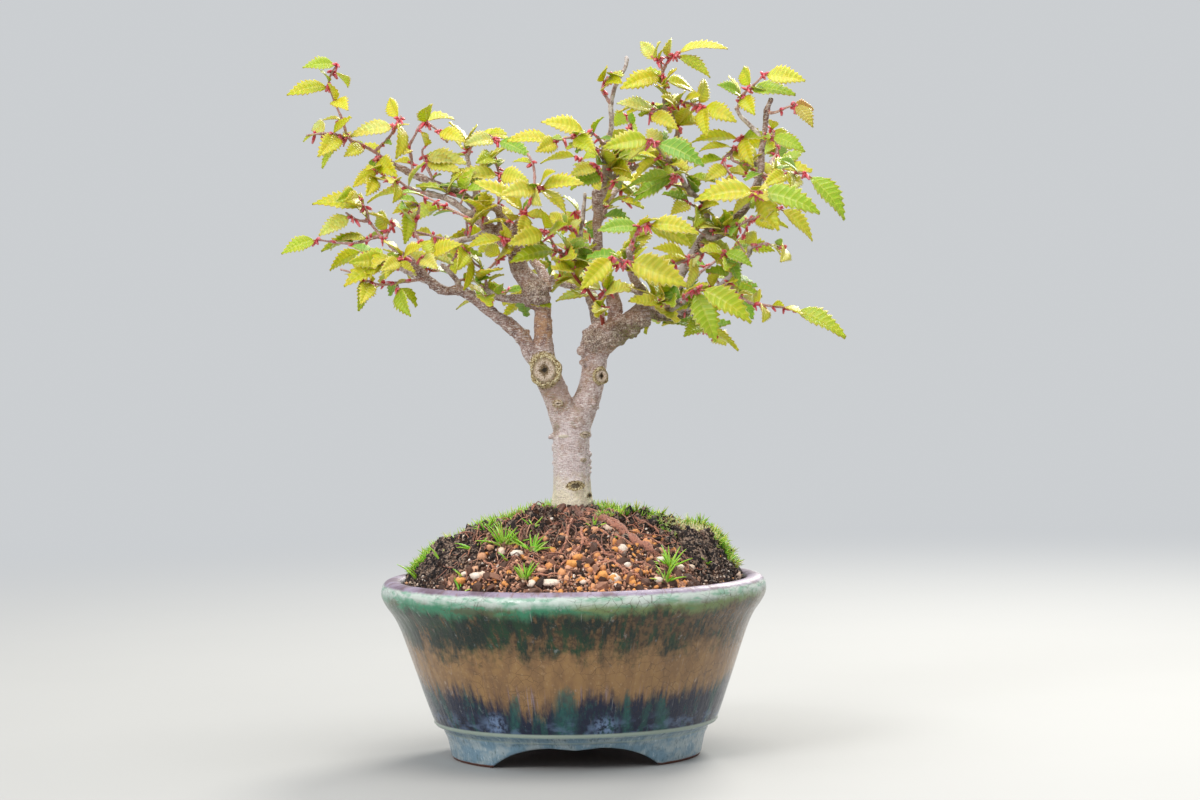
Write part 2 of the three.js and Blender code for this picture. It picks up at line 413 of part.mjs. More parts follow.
function fromLists(points, faces) {
  const geometry = new THREE.BufferGeometry();
  const numbers = points.flatMap((p) => [p.x, p.y, p.z]);
  geometry.setAttribute('position', new THREE.Float32BufferAttribute(numbers, 3));
  geometry.setIndex(faces.flat());
  return geometry;
}

function join(solids) {
  return solids.reduce((whole, piece) => whole.add(piece));
}

// The largest body of a solid, without loose scraps
function mainBody(shape) {
  const bodies = shape.decompose();
  return bodies.reduce((best, body) => (body.volume() > best.volume() ? body : best));
}

function addMesh(group, name, shape, material) {
  const data = shape.getMesh();
  const geometry = new THREE.BufferGeometry();
  geometry.setAttribute('position', new THREE.Float32BufferAttribute(data.vertProperties, 3));
  geometry.setIndex(new THREE.Uint32BufferAttribute(data.triVerts, 1));
  geometry.computeVertexNormals();
  const mesh = new THREE.Mesh(geometry, material);
  mesh.name = name;
  group.add(mesh);
}

// A closed tapered tube through points with a radius at each
function taperedTube(rows, sides, grow = 0) {
  const centres = rows.map(([x, y, z]) => new THREE.Vector3(x, y, z));
  const last = centres.length - 1;
  const tangents = centres.map((_, i) => new THREE.Vector3()
    .subVectors(centres[Math.min(i + 1, last)], centres[Math.max(i - 1, 0)]).normalize());
  centres[0].addScaledVector(tangents[0], -grow);
  centres[last].addScaledVector(tangents[last], grow);
  let side = new THREE.Vector3(0, 1, 0);
  if (Math.abs(tangents[0].y) > 0.9) side = new THREE.Vector3(1, 0, 0);
  const points = [];
  centres.forEach((centre, i) => {
    side.addScaledVector(tangents[i], -side.dot(tangents[i])).normalize();
    const across = new THREE.Vector3().crossVectors(tangents[i], side);
    for (let k = 0; k < sides; k += 1) {
      const angle = (2 * Math.PI * k) / sides;
      points.push(centre.clone()
        .addScaledVector(side, Math.cos(angle) * (rows[i][3] + grow))
        .addScaledVector(across, Math.sin(angle) * (rows[i][3] + grow)));
    }
  });
  const faces = [];
  for (let i = 0; i < last; i += 1) {
    for (let k = 0; k < sides; k += 1) {
      const a = i * sides + k;
      const b = i * sides + ((k + 1) % sides);
      faces.push([a, b, b + sides], [a, b + sides, a + sides]);
    }
  }
  for (let k = 1; k < sides - 1; k += 1) {
    faces.push([0, k + 1, k], [last * sides, last * sides + k, last * sides + k + 1]);
  }
  return toSolid(fromLists(points, faces));
}

function lathe(profile, sides) {
  const closed = [...profile, profile[0]].map(([r, z]) => new THREE.Vector2(r, z));
  const geometry = new THREE.LatheGeometry(closed, sides);
  geometry.rotateX(Math.PI / 2);
  return toSolid(geometry);
}

// Pot, with the three arches that leave it standing on three feet
function archCutter(azimuth) {
  const shape = new THREE.Shape();
  shape.moveTo(-ARCH_HALF_WIDTH, -2);
  shape.lineTo(-ARCH_HALF_WIDTH, 0);
  shape.quadraticCurveTo(-ARCH_HALF_WIDTH * 0.75, ARCH_HEIGHT * 0.95, -ARCH_HALF_WIDTH * 0.3, ARCH_HEIGHT);
  shape.lineTo(0, ARCH_HEIGHT * 0.9);
  shape.lineTo(ARCH_HALF_WIDTH * 0.3, ARCH_HEIGHT);
  shape.quadraticCurveTo(ARCH_HALF_WIDTH * 0.75, ARCH_HEIGHT * 0.95, ARCH_HALF_WIDTH, 0);
  shape.lineTo(ARCH_HALF_WIDTH, -2);
  const reach = FOOT_RADIUS + 5;
  const options = { depth: reach - 10, bevelEnabled: false, curveSegments: 3 };
  const geometry = new THREE.ExtrudeGeometry(shape, options);
  geometry.rotateX(Math.PI / 2);
  geometry.translate(0, -10, 0);
  geometry.rotateZ(THREE.MathUtils.degToRad(azimuth + 90));
  return toSolid(geometry);
}

function makePot() {
  const profile = [
    ...POT_OUTSIDE, ...POT_INSIDE, [DRAIN_RADIUS, FLOOR_Z], [DRAIN_RADIUS, UNDERSIDE_Z],
    [FOOT_INNER_RADIUS + 0.6, UNDERSIDE_Z], [FOOT_INNER_RADIUS, 0],
  ];
  return ARCH_AZIMUTHS.reduce((pot, azimuth) => pot.subtract(archCutter(azimuth)), lathe(profile, SIDES));
}

function boxSolid([width, depth, height], [x, y, z]) {
  const geometry = new THREE.BoxGeometry(width, depth, height);
  geometry.translate(x, y, z);
  return toSolid(geometry);
}

// Square net over the drain hole
function makeDrainMesh(grow = 0) {
  const middle = FLOOR_Z + GAP + MESH_THICKNESS / 2;
  const side = MESH_SIDE + 2 * grow;
  let net = boxSolid([side, side, MESH_THICKNESS + 2 * grow], [0, 0, middle]);
  if (grow > 0) return net;
  for (const column of [-0.5, 0.5]) {
    for (const row of [-0.5, 0.5]) {
      const hole = [MESH_HOLE, MESH_HOLE, MESH_THICKNESS * 2];
      net = net.subtract(boxSolid(hole, [column * MESH_PITCH, row * MESH_PITCH, middle]));
    }
  }
  return net;
}

// Height of the mound's smooth surface
function soilHeight(x, y) {
  const share = Math.min(1, Math.hypot(x, y) / POT_INSIDE[1][0]);
  return SOIL_RIM_Z + (SOIL_TOP_Z - SOIL_RIM_Z) * (1 - share ** SOIL_CURVE);
}

// Small uneven rise and fall of the soil between its grains
function soilBump(x, y) {
  return 0.55 * Math.sin(x * 0.61 + 1.3) * Math.cos(y * 0.53) + 0.4 * Math.sin(x * 1.1 - y * 0.9);
}

function makeSoil(grow = 0) {
  const rings = [0.22, 0.48, 0.74, 1];
  const edge = POT_INSIDE[1][0] - GAP;
  const points = [];
  rings.forEach((share) => {
    for (let k = 0; k < SIDES; k += 1) {
      const angle = (2 * Math.PI * (k + share)) / SIDES;
      const [x, y] = [Math.cos(angle) * share * edge, Math.sin(angle) * share * edge];
      const bump = share < 1 ? soilBump(x, y) : 0;
      points.push(new THREE.Vector3(x, y, soilHeight(x, y) + bump + grow));
    }
  });
  const wall = POT_INSIDE.slice(2).map(([r, z]) => [r - GAP, Math.max(z, FLOOR_Z + GAP)]);
  wall.forEach(([r, z]) => {
    for (let k = 0; k < SIDES; k += 1) {
      const angle = (2 * Math.PI * (k + 1)) / SIDES;
      points.push(new THREE.Vector3(Math.cos(angle) * r, Math.sin(angle) * r, z));
    }
  });
  const faces = [];
  const rows = rings.length + wall.length;
  for (let i = 0; i < rows - 1; i += 1) {
    for (let k = 0; k < SIDES; k += 1) {
      const a = i * SIDES + k;
      const b = i * SIDES + ((k + 1) % SIDES);
      faces.push([a, a + SIDES, b + SIDES], [a, b + SIDES, b]);
    }
  }
  const base = (rows - 1) * SIDES;
  for (let k = 1; k < SIDES - 1; k += 1) {
    faces.push([0, k, k + 1], [base, base + k + 1, base + k]);
  }
  return join([toSolid(fromLists(points, faces)), ...soilGrains(grow)]);
}

// Larger grains lying half sunk in the mound
function soilGrains(grow) {
  const random = makeRandom(41);
  const grains = [];
  for (let i = 0; i < 9; i += 1) {
    const angle = 2 * Math.PI * random();
    const reach = 16 + 28 * Math.sqrt(random());
    const radius = 1.6 + 1.3 * random();
    const geometry = new THREE.IcosahedronGeometry(radius + grow, 0);
    geometry.rotateX(6 * random());
    geometry.rotateY(6 * random());
    const [x, y] = [Math.cos(angle) * reach, Math.sin(angle) * reach];
    geometry.translate(x, y, soilHeight(x, y) + soilBump(x, y) + radius * 0.2);
    grains.push(toSolid(geometry));
  }
  return grains;
}

// A cushion of moss: a low uneven bank along an arc of the mound, with knobbly tufts on it
function makeMoss({ from, to, reach, lift, steps, seed }) {
  const random = makeRandom(seed);
  const rows = [];
  const tufts = [];
  for (let i = 0; i <= steps; i += 1) {
    const angle = THREE.MathUtils.degToRad(from + ((to - from) * i) / steps);
    const [x, y] = [Math.cos(angle) * reach, Math.sin(angle) * reach];
    const radius = i % steps ? 3.1 + 1.1 * random() : 2.2;
    rows.push([x, y, soilHeight(x, y) + lift, radius]);
    if (i % steps === 0) continue;
    const geometry = new THREE.IcosahedronGeometry(2.1 + 0.8 * random(), 0);
    geometry.rotateX(6 * random());
    const [dx, dy] = [2.4 * (random() - 0.5), 2.4 * (random() - 0.5)];
    geometry.translate(x + dx, y + dy, soilHeight(x, y) + lift + radius * 0.7);
    tufts.push(toSolid(geometry));
  }
  return join([taperedTube(rows, 6), ...tufts]);
}

// A tuft of grass: flat tapering blades out of one short crown that stands in the soil
function tuftCrown({ foot: [x, y] }, grow = 0) {
  const z = soilHeight(x, y);
  return taperedTube([[x, y, z - 4, 0.9], [x, y, z + 1.2 + 2 * grow, 0.9]], 6, grow);
}

function makeTuft(tuft) {
  const random = makeRandom(tuft.seed);
  const [x, y] = tuft.foot;
  const z = soilHeight(x, y) + 0.7;
  const parts = [tuftCrown(tuft)];
  for (let i = 0; i < tuft.blades; i += 1) {
    const angle = (2 * Math.PI * (i + 0.6 * random())) / tuft.blades;
    const lean = 0.25 + 0.35 * random();
    const height = tuft.height * (0.7 + 0.3 * random());
    const step = [Math.cos(angle) * lean * height, Math.sin(angle) * lean * height];
    parts.push(taperedTube([
      [x, y, z, 0.55], [x + step[0] * 0.35, y + step[1] * 0.35, z + height * 0.6, 0.5],
      [x + step[0], y + step[1], z + height, 0.4]], 3));
  }
  return join(parts);
}

// A raised ring with a hollow middle, where a branch was cut and the bark rolled over
function makeCallus({ middle, radius, facing }, grow = 0) {
  const profile = [
    [0, -radius * 0.8], [radius * 0.8, -radius * 0.7], [radius + grow, 0],
    [radius * 0.85 + grow, radius * 0.3 + grow], [radius * 0.5, radius * 0.22 + grow],
    [radius * 0.35, 0.1 + grow], [0, grow],
  ];
  const geometry = new THREE.LatheGeometry(profile.map(([r, z]) => new THREE.Vector2(r, z)), 8);
  geometry.applyQuaternion(new THREE.Quaternion()
    .setFromUnitVectors(new THREE.Vector3(0, 1, 0), new THREE.Vector3(...facing).normalize()));
  geometry.translate(...middle);
  return toSolid(geometry);
}

function limbSides(rows) {
  const thickest = Math.max(...rows.map((row) => row[3]));
  if (thickest > 4) return 7;
  if (thickest > 1.7) return 5;
  return thickest > 0.95 ? 4 : 3;
}

function makeWood(grow = 0) {
  return join([
    ...Object.values(LIMBS).map((rows) => taperedTube(rows, limbSides(rows), grow)),
    ...CALLUSES.map((callus) => makeCallus(callus, grow)),
  ]);
}

// Half the width of a blade at a share of its length, without its teeth
function bladeHalf(share) {
  return (BLADE_WIDTH / 2) * (share ** 0.7 * (1 - share) ** 1.25) / 0.28;
}

// The corners of a blade's edge, as share of the length and share of the half width
const BLADE_EDGE = [[0.26, 1.06], [0.4, 0.8], [0.55, 1.22]];
const BLADE_RIB = 0.42;

function bladeFrame(step, roll, front) {
  const along = step.clone().normalize();
  const up = new THREE.Vector3(0, 0, 1).addScaledVector(along, -along.z).normalize();
  const side = new THREE.Vector3().crossVectors(along, up);
  if (side.dot(front) < 0) side.negate();
  const normal = up.multiplyScalar(Math.cos(roll)).addScaledVector(side, Math.sin(roll));
  return { along, normal, across: new THREE.Vector3().crossVectors(along, normal) };
}

// A serrate blade, arched along its rib and folded a little across it, from its foot to its tip
function makeBlade(foot, step, roll, front, grow = 0) {
  const length = step.length() + grow;
  const { along, normal, across } = bladeFrame(step, roll, front);
  const at = (share, out) => foot.clone()
    .addScaledVector(along, share * length)
    .addScaledVector(across, out)
    .addScaledVector(normal, length * (BLADE_ARCH * 4 * share * (1 - share)) + BLADE_FOLD * Math.abs(out));
  const edge = BLADE_EDGE.map(([share, wide]) => [share, bladeHalf(share) * wide * length + grow]);
  const outline = [
    at(0, 0), ...edge.map(([share, out]) => at(share, out)), at(1, 0),
    ...edge.toReversed().map(([share, out]) => at(share, -out)),
  ];
  const sheet = [...outline, at(BLADE_RIB, 0)];
  const rib = outline.length;
  const upper = outline.map((_, i) => [i, (i + 1) % outline.length, rib]);
  const half = BLADE_THICKNESS / 2 + grow;
  const points = [
    ...sheet.map((p) => p.clone().addScaledVector(normal, half)),
    ...sheet.map((p) => p.clone().addScaledVector(normal, -half)),
  ];
  const under = sheet.length;
  const faces = [...upper, ...upper.map(([a, b, c]) => [a + under, c + under, b + under])];
  outline.forEach((_, i) => {
    const next = (i + 1) % outline.length;
    faces.push([i, i + under, next + under], [i, next + under, next]);
  });
  const shape = toSolid(fromLists(points, faces));
  return { shape, box: new THREE.Box3().setFromPoints(points) };
}

function turned(step, [heading, lift], size) {
  const flat = Math.hypot(step.x, step.y);
  const azimuth = Math.atan2(step.y, step.x) + THREE.MathUtils.degToRad(heading);
  const tilt = Math.atan2(step.z, flat) + THREE.MathUtils.degToRad(lift);
  const length = step.length() * size;
  const reach = Math.cos(tilt) * length;
  return new THREE.Vector3(
    Math.cos(azimuth) * reach, Math.sin(azimuth) * reach, Math.sin(tilt) * length);
}

function pointOn(stem, place) {
  const i = Math.min(Math.floor(place), stem.length - 2);
  return new THREE.Vector3(...stem[i]).lerp(new THREE.Vector3(...stem[i + 1]), place - i);
}

function stemTube(stem) {
  const rows = stem.map(([x, y, z], i) => [x, y, z, 0.85 - (0.15 * i) / (stem.length - 1)]);
  return taperedTube(rows, 3);
}

// Leaves of a shoot seen from behind: one after another, left and right of the stem by turns
function ruledLeaves({ stems, counts }, seed) {
  const random = makeRandom(seed);
  const leaves = [];
  stems.forEach((stem, s) => {
    const end = new THREE.Vector3(...stem.at(-1)).sub(new THREE.Vector3(...stem.at(-2)));
    const azimuth = Math.atan2(end.y, end.x);
    for (let i = 0; i < counts[s]; i += 1) {
      const back = (0.42 * (counts[s] - 1 - i)) / Math.max(1, counts[s] - 1);
      const place = (stem.length - 1) * (1 - back);
      const swing = (i % 2 ? 1 : -1) * (0.5 + 0.5 * random());
      const droop = 0.15 + 0.45 * random();
      const length = 11.5 + 3 * random();
      const reach = length * Math.cos(droop);
      leaves.push([s, place, reach * Math.cos(azimuth + swing), reach * Math.sin(azimuth + swing),
        -length * Math.sin(droop), 20 + 35 * random()]);
    }
  });
  return leaves;
}

function overlaps(blade, other) {
  return blade.box.intersectsBox(other.box) && !blade.shape.intersect(other.shape).isEmpty();
}

function boxOf(shape) {
  const { min, max } = shape.boundingBox();
  return new THREE.Box3(new THREE.Vector3(...min), new THREE.Vector3(...max));
}

// Every shoot, each leaf turned until it hangs clear of the wood and of the other shoots
function makeShoots(wood, woodClear) {
  const shoots = [
    ...Object.entries(SHOOTS).map(([name, { stems, leaves }]) => (
      { name, stems, leaves, front: new THREE.Vector3(0, -1, 0) })),
    ...Object.entries(BACK_SHOOTS).map(([name, shoot], i) => (
      {
        name,
        stems: shoot.stems,
        leaves: ruledLeaves(shoot, 101 + 7 * i),
        front: new THREE.Vector3(0, 1, 0),
      })),
  ];
  const placed = [];
  shoots.forEach((shoot) => {
    shoot.parts = shoot.stems.map(stemTube);
    shoot.parts.forEach((shape) => placed.push({ shape, box: boxOf(shape), owner: shoot.name }));
  });
  const solidWood = { shape: wood, box: boxOf(wood) };
  shoots.forEach((shoot) => {
    shoot.leaves.forEach(([stem, place, x, y, z, roll]) => {
      const foot = pointOn(shoot.stems[stem], place);
      const angle = THREE.MathUtils.degToRad(roll);
      const tip = new THREE.Vector3(x, y, z);
      const tries = LEAF_SIZES.flatMap((size) => LEAF_TURNS.map((turn) => turned(tip, turn, size)));
      const clear = tries.filter((candidate) => {
        const wide = makeBlade(foot, candidate, angle, shoot.front, GAP);
        return !overlaps(wide, solidWood)
          && !placed.some((other) => other.owner !== shoot.name && overlaps(wide, other));
      });
      if (!clear.length) return;
      const step = clear.find((candidate) => {
        const bare = makeBlade(foot, candidate, angle, shoot.front);
        return !placed.some((other) => other.owner === shoot.name && other.foot
          && other.foot.distanceTo(foot) > FOOT_SPACING && overlaps(bare, other));
      }) ?? clear[0];
      const blade = makeBlade(foot, step, angle, shoot.front);
      placed.push({ ...blade, foot, owner: shoot.name });
      shoot.parts.push(blade.shape);
    });
    shoot.shape = mainBody(join(shoot.parts).subtract(woodClear));
  });
  return shoots;
}

function makeTree() {
  const group = new THREE.Group();
  const wood = mainBody(makeWood());
  const woodClear = makeWood(GAP);
  const drainMesh = makeDrainMesh();
  const soil = makeSoil();
  const soilClear = makeSoil(GAP);
  const crowns = Object.values(TUFTS).map((tuft) => tuftCrown(tuft, GAP));
  const bareSoil = crowns.reduce((shape, crown) => shape.subtract(crown), soil.subtract(woodClear)
    .subtract(makeDrainMesh(GAP)));

  addMesh(group, 'pot', makePot(), MATERIALS.glaze);
  addMesh(group, 'drain_mesh', drainMesh, MATERIALS.mesh);
  addMesh(group, 'soil', mainBody(bareSoil), MATERIALS.soil);
  Object.entries(MOSSES).forEach(([name, moss]) => (
    addMesh(group, name, mainBody(makeMoss(moss).subtract(soilClear)), MATERIALS.moss)));
  Object.entries(TUFTS).forEach(([name, tuft]) => addMesh(group, name, makeTuft(tuft), MATERIALS.grass));
  addMesh(group, 'wood', wood, MATERIALS.bark);
  makeShoots(wood, woodClear).forEach(({ name, shape }) => (
    addMesh(group, `leaves_${name}`, shape, MATERIALS.leaf)));
  return group;
}

export default makeTree();
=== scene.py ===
"""Japanese zelkova bonsai in a round glazed pot: its finishes and its fine pieces.

The tables are in millimetres, as the solids are, and every mesh is in metres. The front is -Y.
"""
import json
import math
import random

import bpy
import numpy as np
from mathutils import Matrix, Vector, noise
from mathutils.kdtree import KDTree

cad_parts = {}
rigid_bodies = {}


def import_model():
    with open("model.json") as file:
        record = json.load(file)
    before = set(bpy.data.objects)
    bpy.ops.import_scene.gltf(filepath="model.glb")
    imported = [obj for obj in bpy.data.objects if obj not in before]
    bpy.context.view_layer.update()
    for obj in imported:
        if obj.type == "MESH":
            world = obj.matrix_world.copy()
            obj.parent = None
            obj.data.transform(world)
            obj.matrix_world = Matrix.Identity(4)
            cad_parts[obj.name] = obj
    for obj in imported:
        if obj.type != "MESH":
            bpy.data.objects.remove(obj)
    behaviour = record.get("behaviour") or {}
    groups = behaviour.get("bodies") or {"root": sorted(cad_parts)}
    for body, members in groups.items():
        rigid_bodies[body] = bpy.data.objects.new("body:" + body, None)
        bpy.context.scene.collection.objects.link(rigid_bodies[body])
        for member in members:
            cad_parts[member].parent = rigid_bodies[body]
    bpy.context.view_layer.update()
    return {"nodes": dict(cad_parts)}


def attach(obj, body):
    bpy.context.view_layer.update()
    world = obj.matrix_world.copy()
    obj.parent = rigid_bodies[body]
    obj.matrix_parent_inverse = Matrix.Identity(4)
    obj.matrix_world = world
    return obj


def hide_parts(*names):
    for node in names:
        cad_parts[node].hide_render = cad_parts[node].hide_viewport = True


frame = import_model()
MM = 0.001

# Sizes and places, in millimetres

FOOT_RADIUS = 35.5
FOOT_INNER_RADIUS = 30
UNDERSIDE_Z = 6.6
FLOOR_Z = 10.5
DRAIN_RADIUS = 6
ARCH_AZIMUTHS = (-90, 30, 150)
ARCH_HALF_WIDTH = 23.5
ARCH_HEIGHT = 6.3
FOOT_BLEND_Z = 8
SOIL_EDGE = 48.2
SOIL_RIM_Z = 50
SOIL_TOP_Z = 70
SOIL_CURVE = 2.2
BLADE_WIDTH = 0.45
BLADE_ARCH = 0.09
BLADE_FOLD = 0.22
BLADE_THICKNESS = 0.6

# The limbs: x, y, z and radius along each
LIMBS = {
    "trunk": [[0, 0, 50, 4], [0, 0, 60, 5.6], [0, 0, 67, 6.4], [0, 0, 71, 6.1], [0, 0, 78.5, 5.3],
        [0, 0, 90, 5.2], [0.4, 0, 96, 5.6], [0.5, 0, 99, 4.4]],
    "root_front": [[-1, 0, 71, 3.6], [-3, -7, 67, 2.2], [-4, -13, 63, 1.3]],
    "root_right": [[1, 0, 71, 3.4], [7, -4, 67.5, 2], [11, -8, 63.5, 1.2]],
    "left_trunk": [[-1.2, -1, 95, 4.6], [-4.3, -2, 103.5, 4], [-7, -3, 110.5, 4.2], [-7.5, -3, 117, 3.1],
        [-7.5, -3, 129, 2.5], [-9, -3, 132, 3.6], [-11.5, -3, 136, 3], [-14, -3, 139.5, 2.8],
        [-15, -3, 145.5, 2.5], [-17.5, -3, 150.5, 2.2], [-18.5, -3, 155.5, 2]],
    "right_trunk": [[1.8, 1, 95.5, 4.6], [5.3, 2, 103.5, 3.9], [6.8, 2, 110, 3.7], [7, 2, 114.5, 4.2],
        [8.5, 2, 118.5, 5.2], [12, 1, 120.5, 4.4], [16, 0, 122.5, 3.5], [20.5, -1, 126, 3.3],
        [22.5, -2, 129, 2.8]],
    "low_left": [[-7, -3, 110.5, 2.6], [-11, -4, 115, 2.4], [-13, -5, 119.5, 2], [-16, -5, 122.5, 2.3],
        [-20.5, -6, 126, 1.7], [-23.5, -6, 128.5, 1.8], [-30.5, -7, 133.5, 1.5], [-35, -8, 133.5, 1.5],
        [-40, -9, 137, 1.4], [-45, -9, 142.5, 1.2], [-49.5, -9, 145.5, 1.1]],
    "low_left_back": [[-38, -8.5, 135.5, 1.1], [-45, 6, 138.5, 1], [-52, 20, 142, 0.8]],
    "low_left_up": [[-32.5, -7, 133.5, 1.2], [-31.5, -6, 136, 1], [-36, -5, 141, 0.7]],
    "collar_twig": [[-9, -3, 131, 1.6], [-15.5, -6, 131, 1.3], [-18.5, -9, 131, 1.2], [-22, -10, 132.5, 1.1],
        [-23.5, -10, 134, 0.9]],
    "collar_riser": [[-23.5, -6, 128.5, 1.2], [-22.5, -9, 131.5, 1], [-22, -10, 133, 0.9]],
    "upper_left": [[-17.5, -3, 150.5, 1.9], [-21.5, -2, 151, 1.6], [-25, -1, 155, 1.5], [-27, 0, 158.5, 1.4],
        [-30.5, 0, 161, 1.3], [-37.5, 1, 164, 1.2], [-46, 1, 168, 1.1], [-51.5, 0, 171, 0.9]],
    "upper_left_low": [[-25, -1, 154.5, 1.2], [-28, -3, 155.5, 1.1], [-34, -5, 159.5, 1],
        [-40, -6, 161.5, 0.9]],
    "left_spur": [[-21.5, -2, 151, 1.3], [-25.5, -3, 149, 1], [-29.5, -4, 148, 0.9], [-34, -5, 147.5, 0.9]],
    "stub_left": [[-18.5, -3, 155, 1.8], [-20.5, -4, 157, 1.2], [-25, -6, 157.5, 0.9]],
    "upper_left_back": [[-27, 0, 158.5, 1], [-26, 8, 164, 0.9], [-28, 12, 168.5, 0.8], [-29, 14, 173, 0.8]],
    "riser": [[12, 1, 119, 2.6], [13, 2, 125, 2.2], [13, 3, 129, 2.3], [11.5, 4, 134, 1.9],
        [9.5, 5, 139.5, 1.6], [8.5, 5, 145, 1.5], [8.5, 5, 152.5, 1.4], [8.5, 5, 158.5, 1.6],
        [8, 5, 161.5, 1.3]],
    "riser_top": [[8.5, 5, 158, 1.2], [10.5, 4, 161.5, 1.2], [11, 3, 164.5, 1], [11, 2, 170.5, 0.9],
        [10.5, 1, 175.5, 0.8]],
    "riser_side": [[11, 3, 164, 0.9], [12.5, 4, 167, 0.8]],
    "red_twig": [[10, 1, 119, 1], [9.5, -2, 125, 0.9], [8.5, -4, 128, 0.9], [5.5, -6, 133, 0.7],
        [2.5, -7, 136, 0.7], [-0.5, -6, 141.5, 0.7]],
    "inner_twig": [[9.5, 5, 139.5, 1.2], [7, 3, 141, 0.9], [4, -1, 139.5, 0.9], [1.5, -4, 141.5, 0.9],
        [-2, -6, 143.5, 0.8]],
    "thin_riser": [[8.5, 5, 145.5, 0.8], [5, 6, 145, 0.7], [3.5, 7, 148, 0.7], [4.5, 8, 155, 0.7],
        [5, 8, 161, 0.6]],
    "mid_up": [[-16.5, -3, 148.5, 1.3], [-13.5, -8, 153.5, 1.1]],
    "fore_twig": [[22, -2, 129.5, 1.6], [20.5, -10, 133, 1.3], [17.5, -22, 137.5, 1.2]],
    "fore_rise": [[18, -20, 137, 1], [17, -34, 144, 0.9]],
    "fore_cross": [[21, -9, 132, 1.1], [17.5, -5, 133, 0.9], [14.5, 0, 134, 0.9], [11.5, 4, 134.5, 1]],
    "fore_right": [[22.5, -2, 129, 1.4], [26, -9, 127, 1.1], [29, -16, 127.5, 1], [32, -23, 129.5, 1.2]],
    "low_right": [[22, -1, 127.5, 1.8], [25, 1, 125.5, 1.4], [29, 2, 125, 1.3], [34.5, 2, 126.5, 1.2],
        [39.5, 1, 130, 1.1], [43.5, 0, 133.5, 1.2], [46, 0, 135.5, 1.3], [47.5, 0, 138.5, 1],
        [51.5, -1, 142.5, 0.9], [52, -2, 144.5, 0.9]],
    "right_limb": [[22, -1, 128, 2.3], [28, 6, 132.5, 1.9], [34.5, 11, 140.5, 1.7], [38.5, 11, 147, 1.6],
        [42, 9, 150.5, 1.5], [47, 6, 152.5, 1.4], [51, 4, 156, 1.3], [53.5, 3, 160.5, 1.2],
        [55.5, 2, 166, 1.1], [56, 2, 172.5, 1], [57, 2, 178, 0.9], [57.5, 2, 183.5, 0.9], [59, 2, 187, 0.7]],
    "right_fork": [[39.5, 11, 149, 1.1], [41.5, 2, 147, 0.9], [47, -2, 149.5, 0.9]],
    "right_up": [[40, 9, 150.5, 1.1], [40, 6, 155, 1], [39, 3, 157.5, 0.9], [35, -2, 161, 0.9],
        [32, -8, 165, 0.8], [28.5, -16, 170, 0.8]],
    "right_spur": [[56, 2, 168, 0.9], [52, 4, 169, 0.8]],
    "right_side": [[56.5, 2, 175.5, 0.8], [53.5, 4, 179, 0.8], [50.5, 6, 182, 0.7], [49, 7, 185, 0.7]],
    "right_back": [[54, 3, 162, 1], [58, 16, 165, 0.9], [60, 27, 170, 0.8]],
    "top_stem": [[11.5, 3, 165, 0.9], [21, 12, 169, 0.9], [28, 14, 173.5, 0.8], [32, 14, 177, 0.9],
        [32, 13, 182.5, 0.8], [29, 11, 185, 0.8], [28.5, 9, 189, 0.7]],
    "bare_top": [[10.8, 1.5, 172, 0.8], [13, -2, 180, 0.8], [13, -4, 186, 0.8], [14.5, -5, 191.5, 0.7],
        [17, -6, 195.5, 0.6], [17.5, -6, 199, 0.6]],
    "back_left": [[-8, -3, 131, 2], [-7, 12, 136, 1.7], [-10, 25, 141.5, 1.4], [-16, 36, 146, 1.1]],
    "back_mid": [[9, 3, 118, 2.6], [8, 18, 126, 2.2], [6, 30, 133, 1.8], [6.5, 38, 140, 1.3]],
    "back_mid_left": [[6, 30, 133, 1.3], [-3, 37, 135.5, 1.1], [-10.5, 43, 135.5, 0.8]],
    "back_right": [[28, 6, 132.5, 1.7], [32.5, 22, 134, 1.4], [38, 33, 137.5, 1.2]],
    "back_low": [[24.5, 1, 128.5, 1.4], [28.5, 16, 125, 1.1], [33.5, 28, 123.5, 0.9]],
    "back_top": [[8.5, 5, 152, 1.3], [11, 20, 158, 1.1], [15.5, 32, 164, 0.9]],
    "back_up_left": [[-14, -3, 141.5, 1.6], [-20, 16, 148, 1.3], [-27, 30, 154, 1]],
}

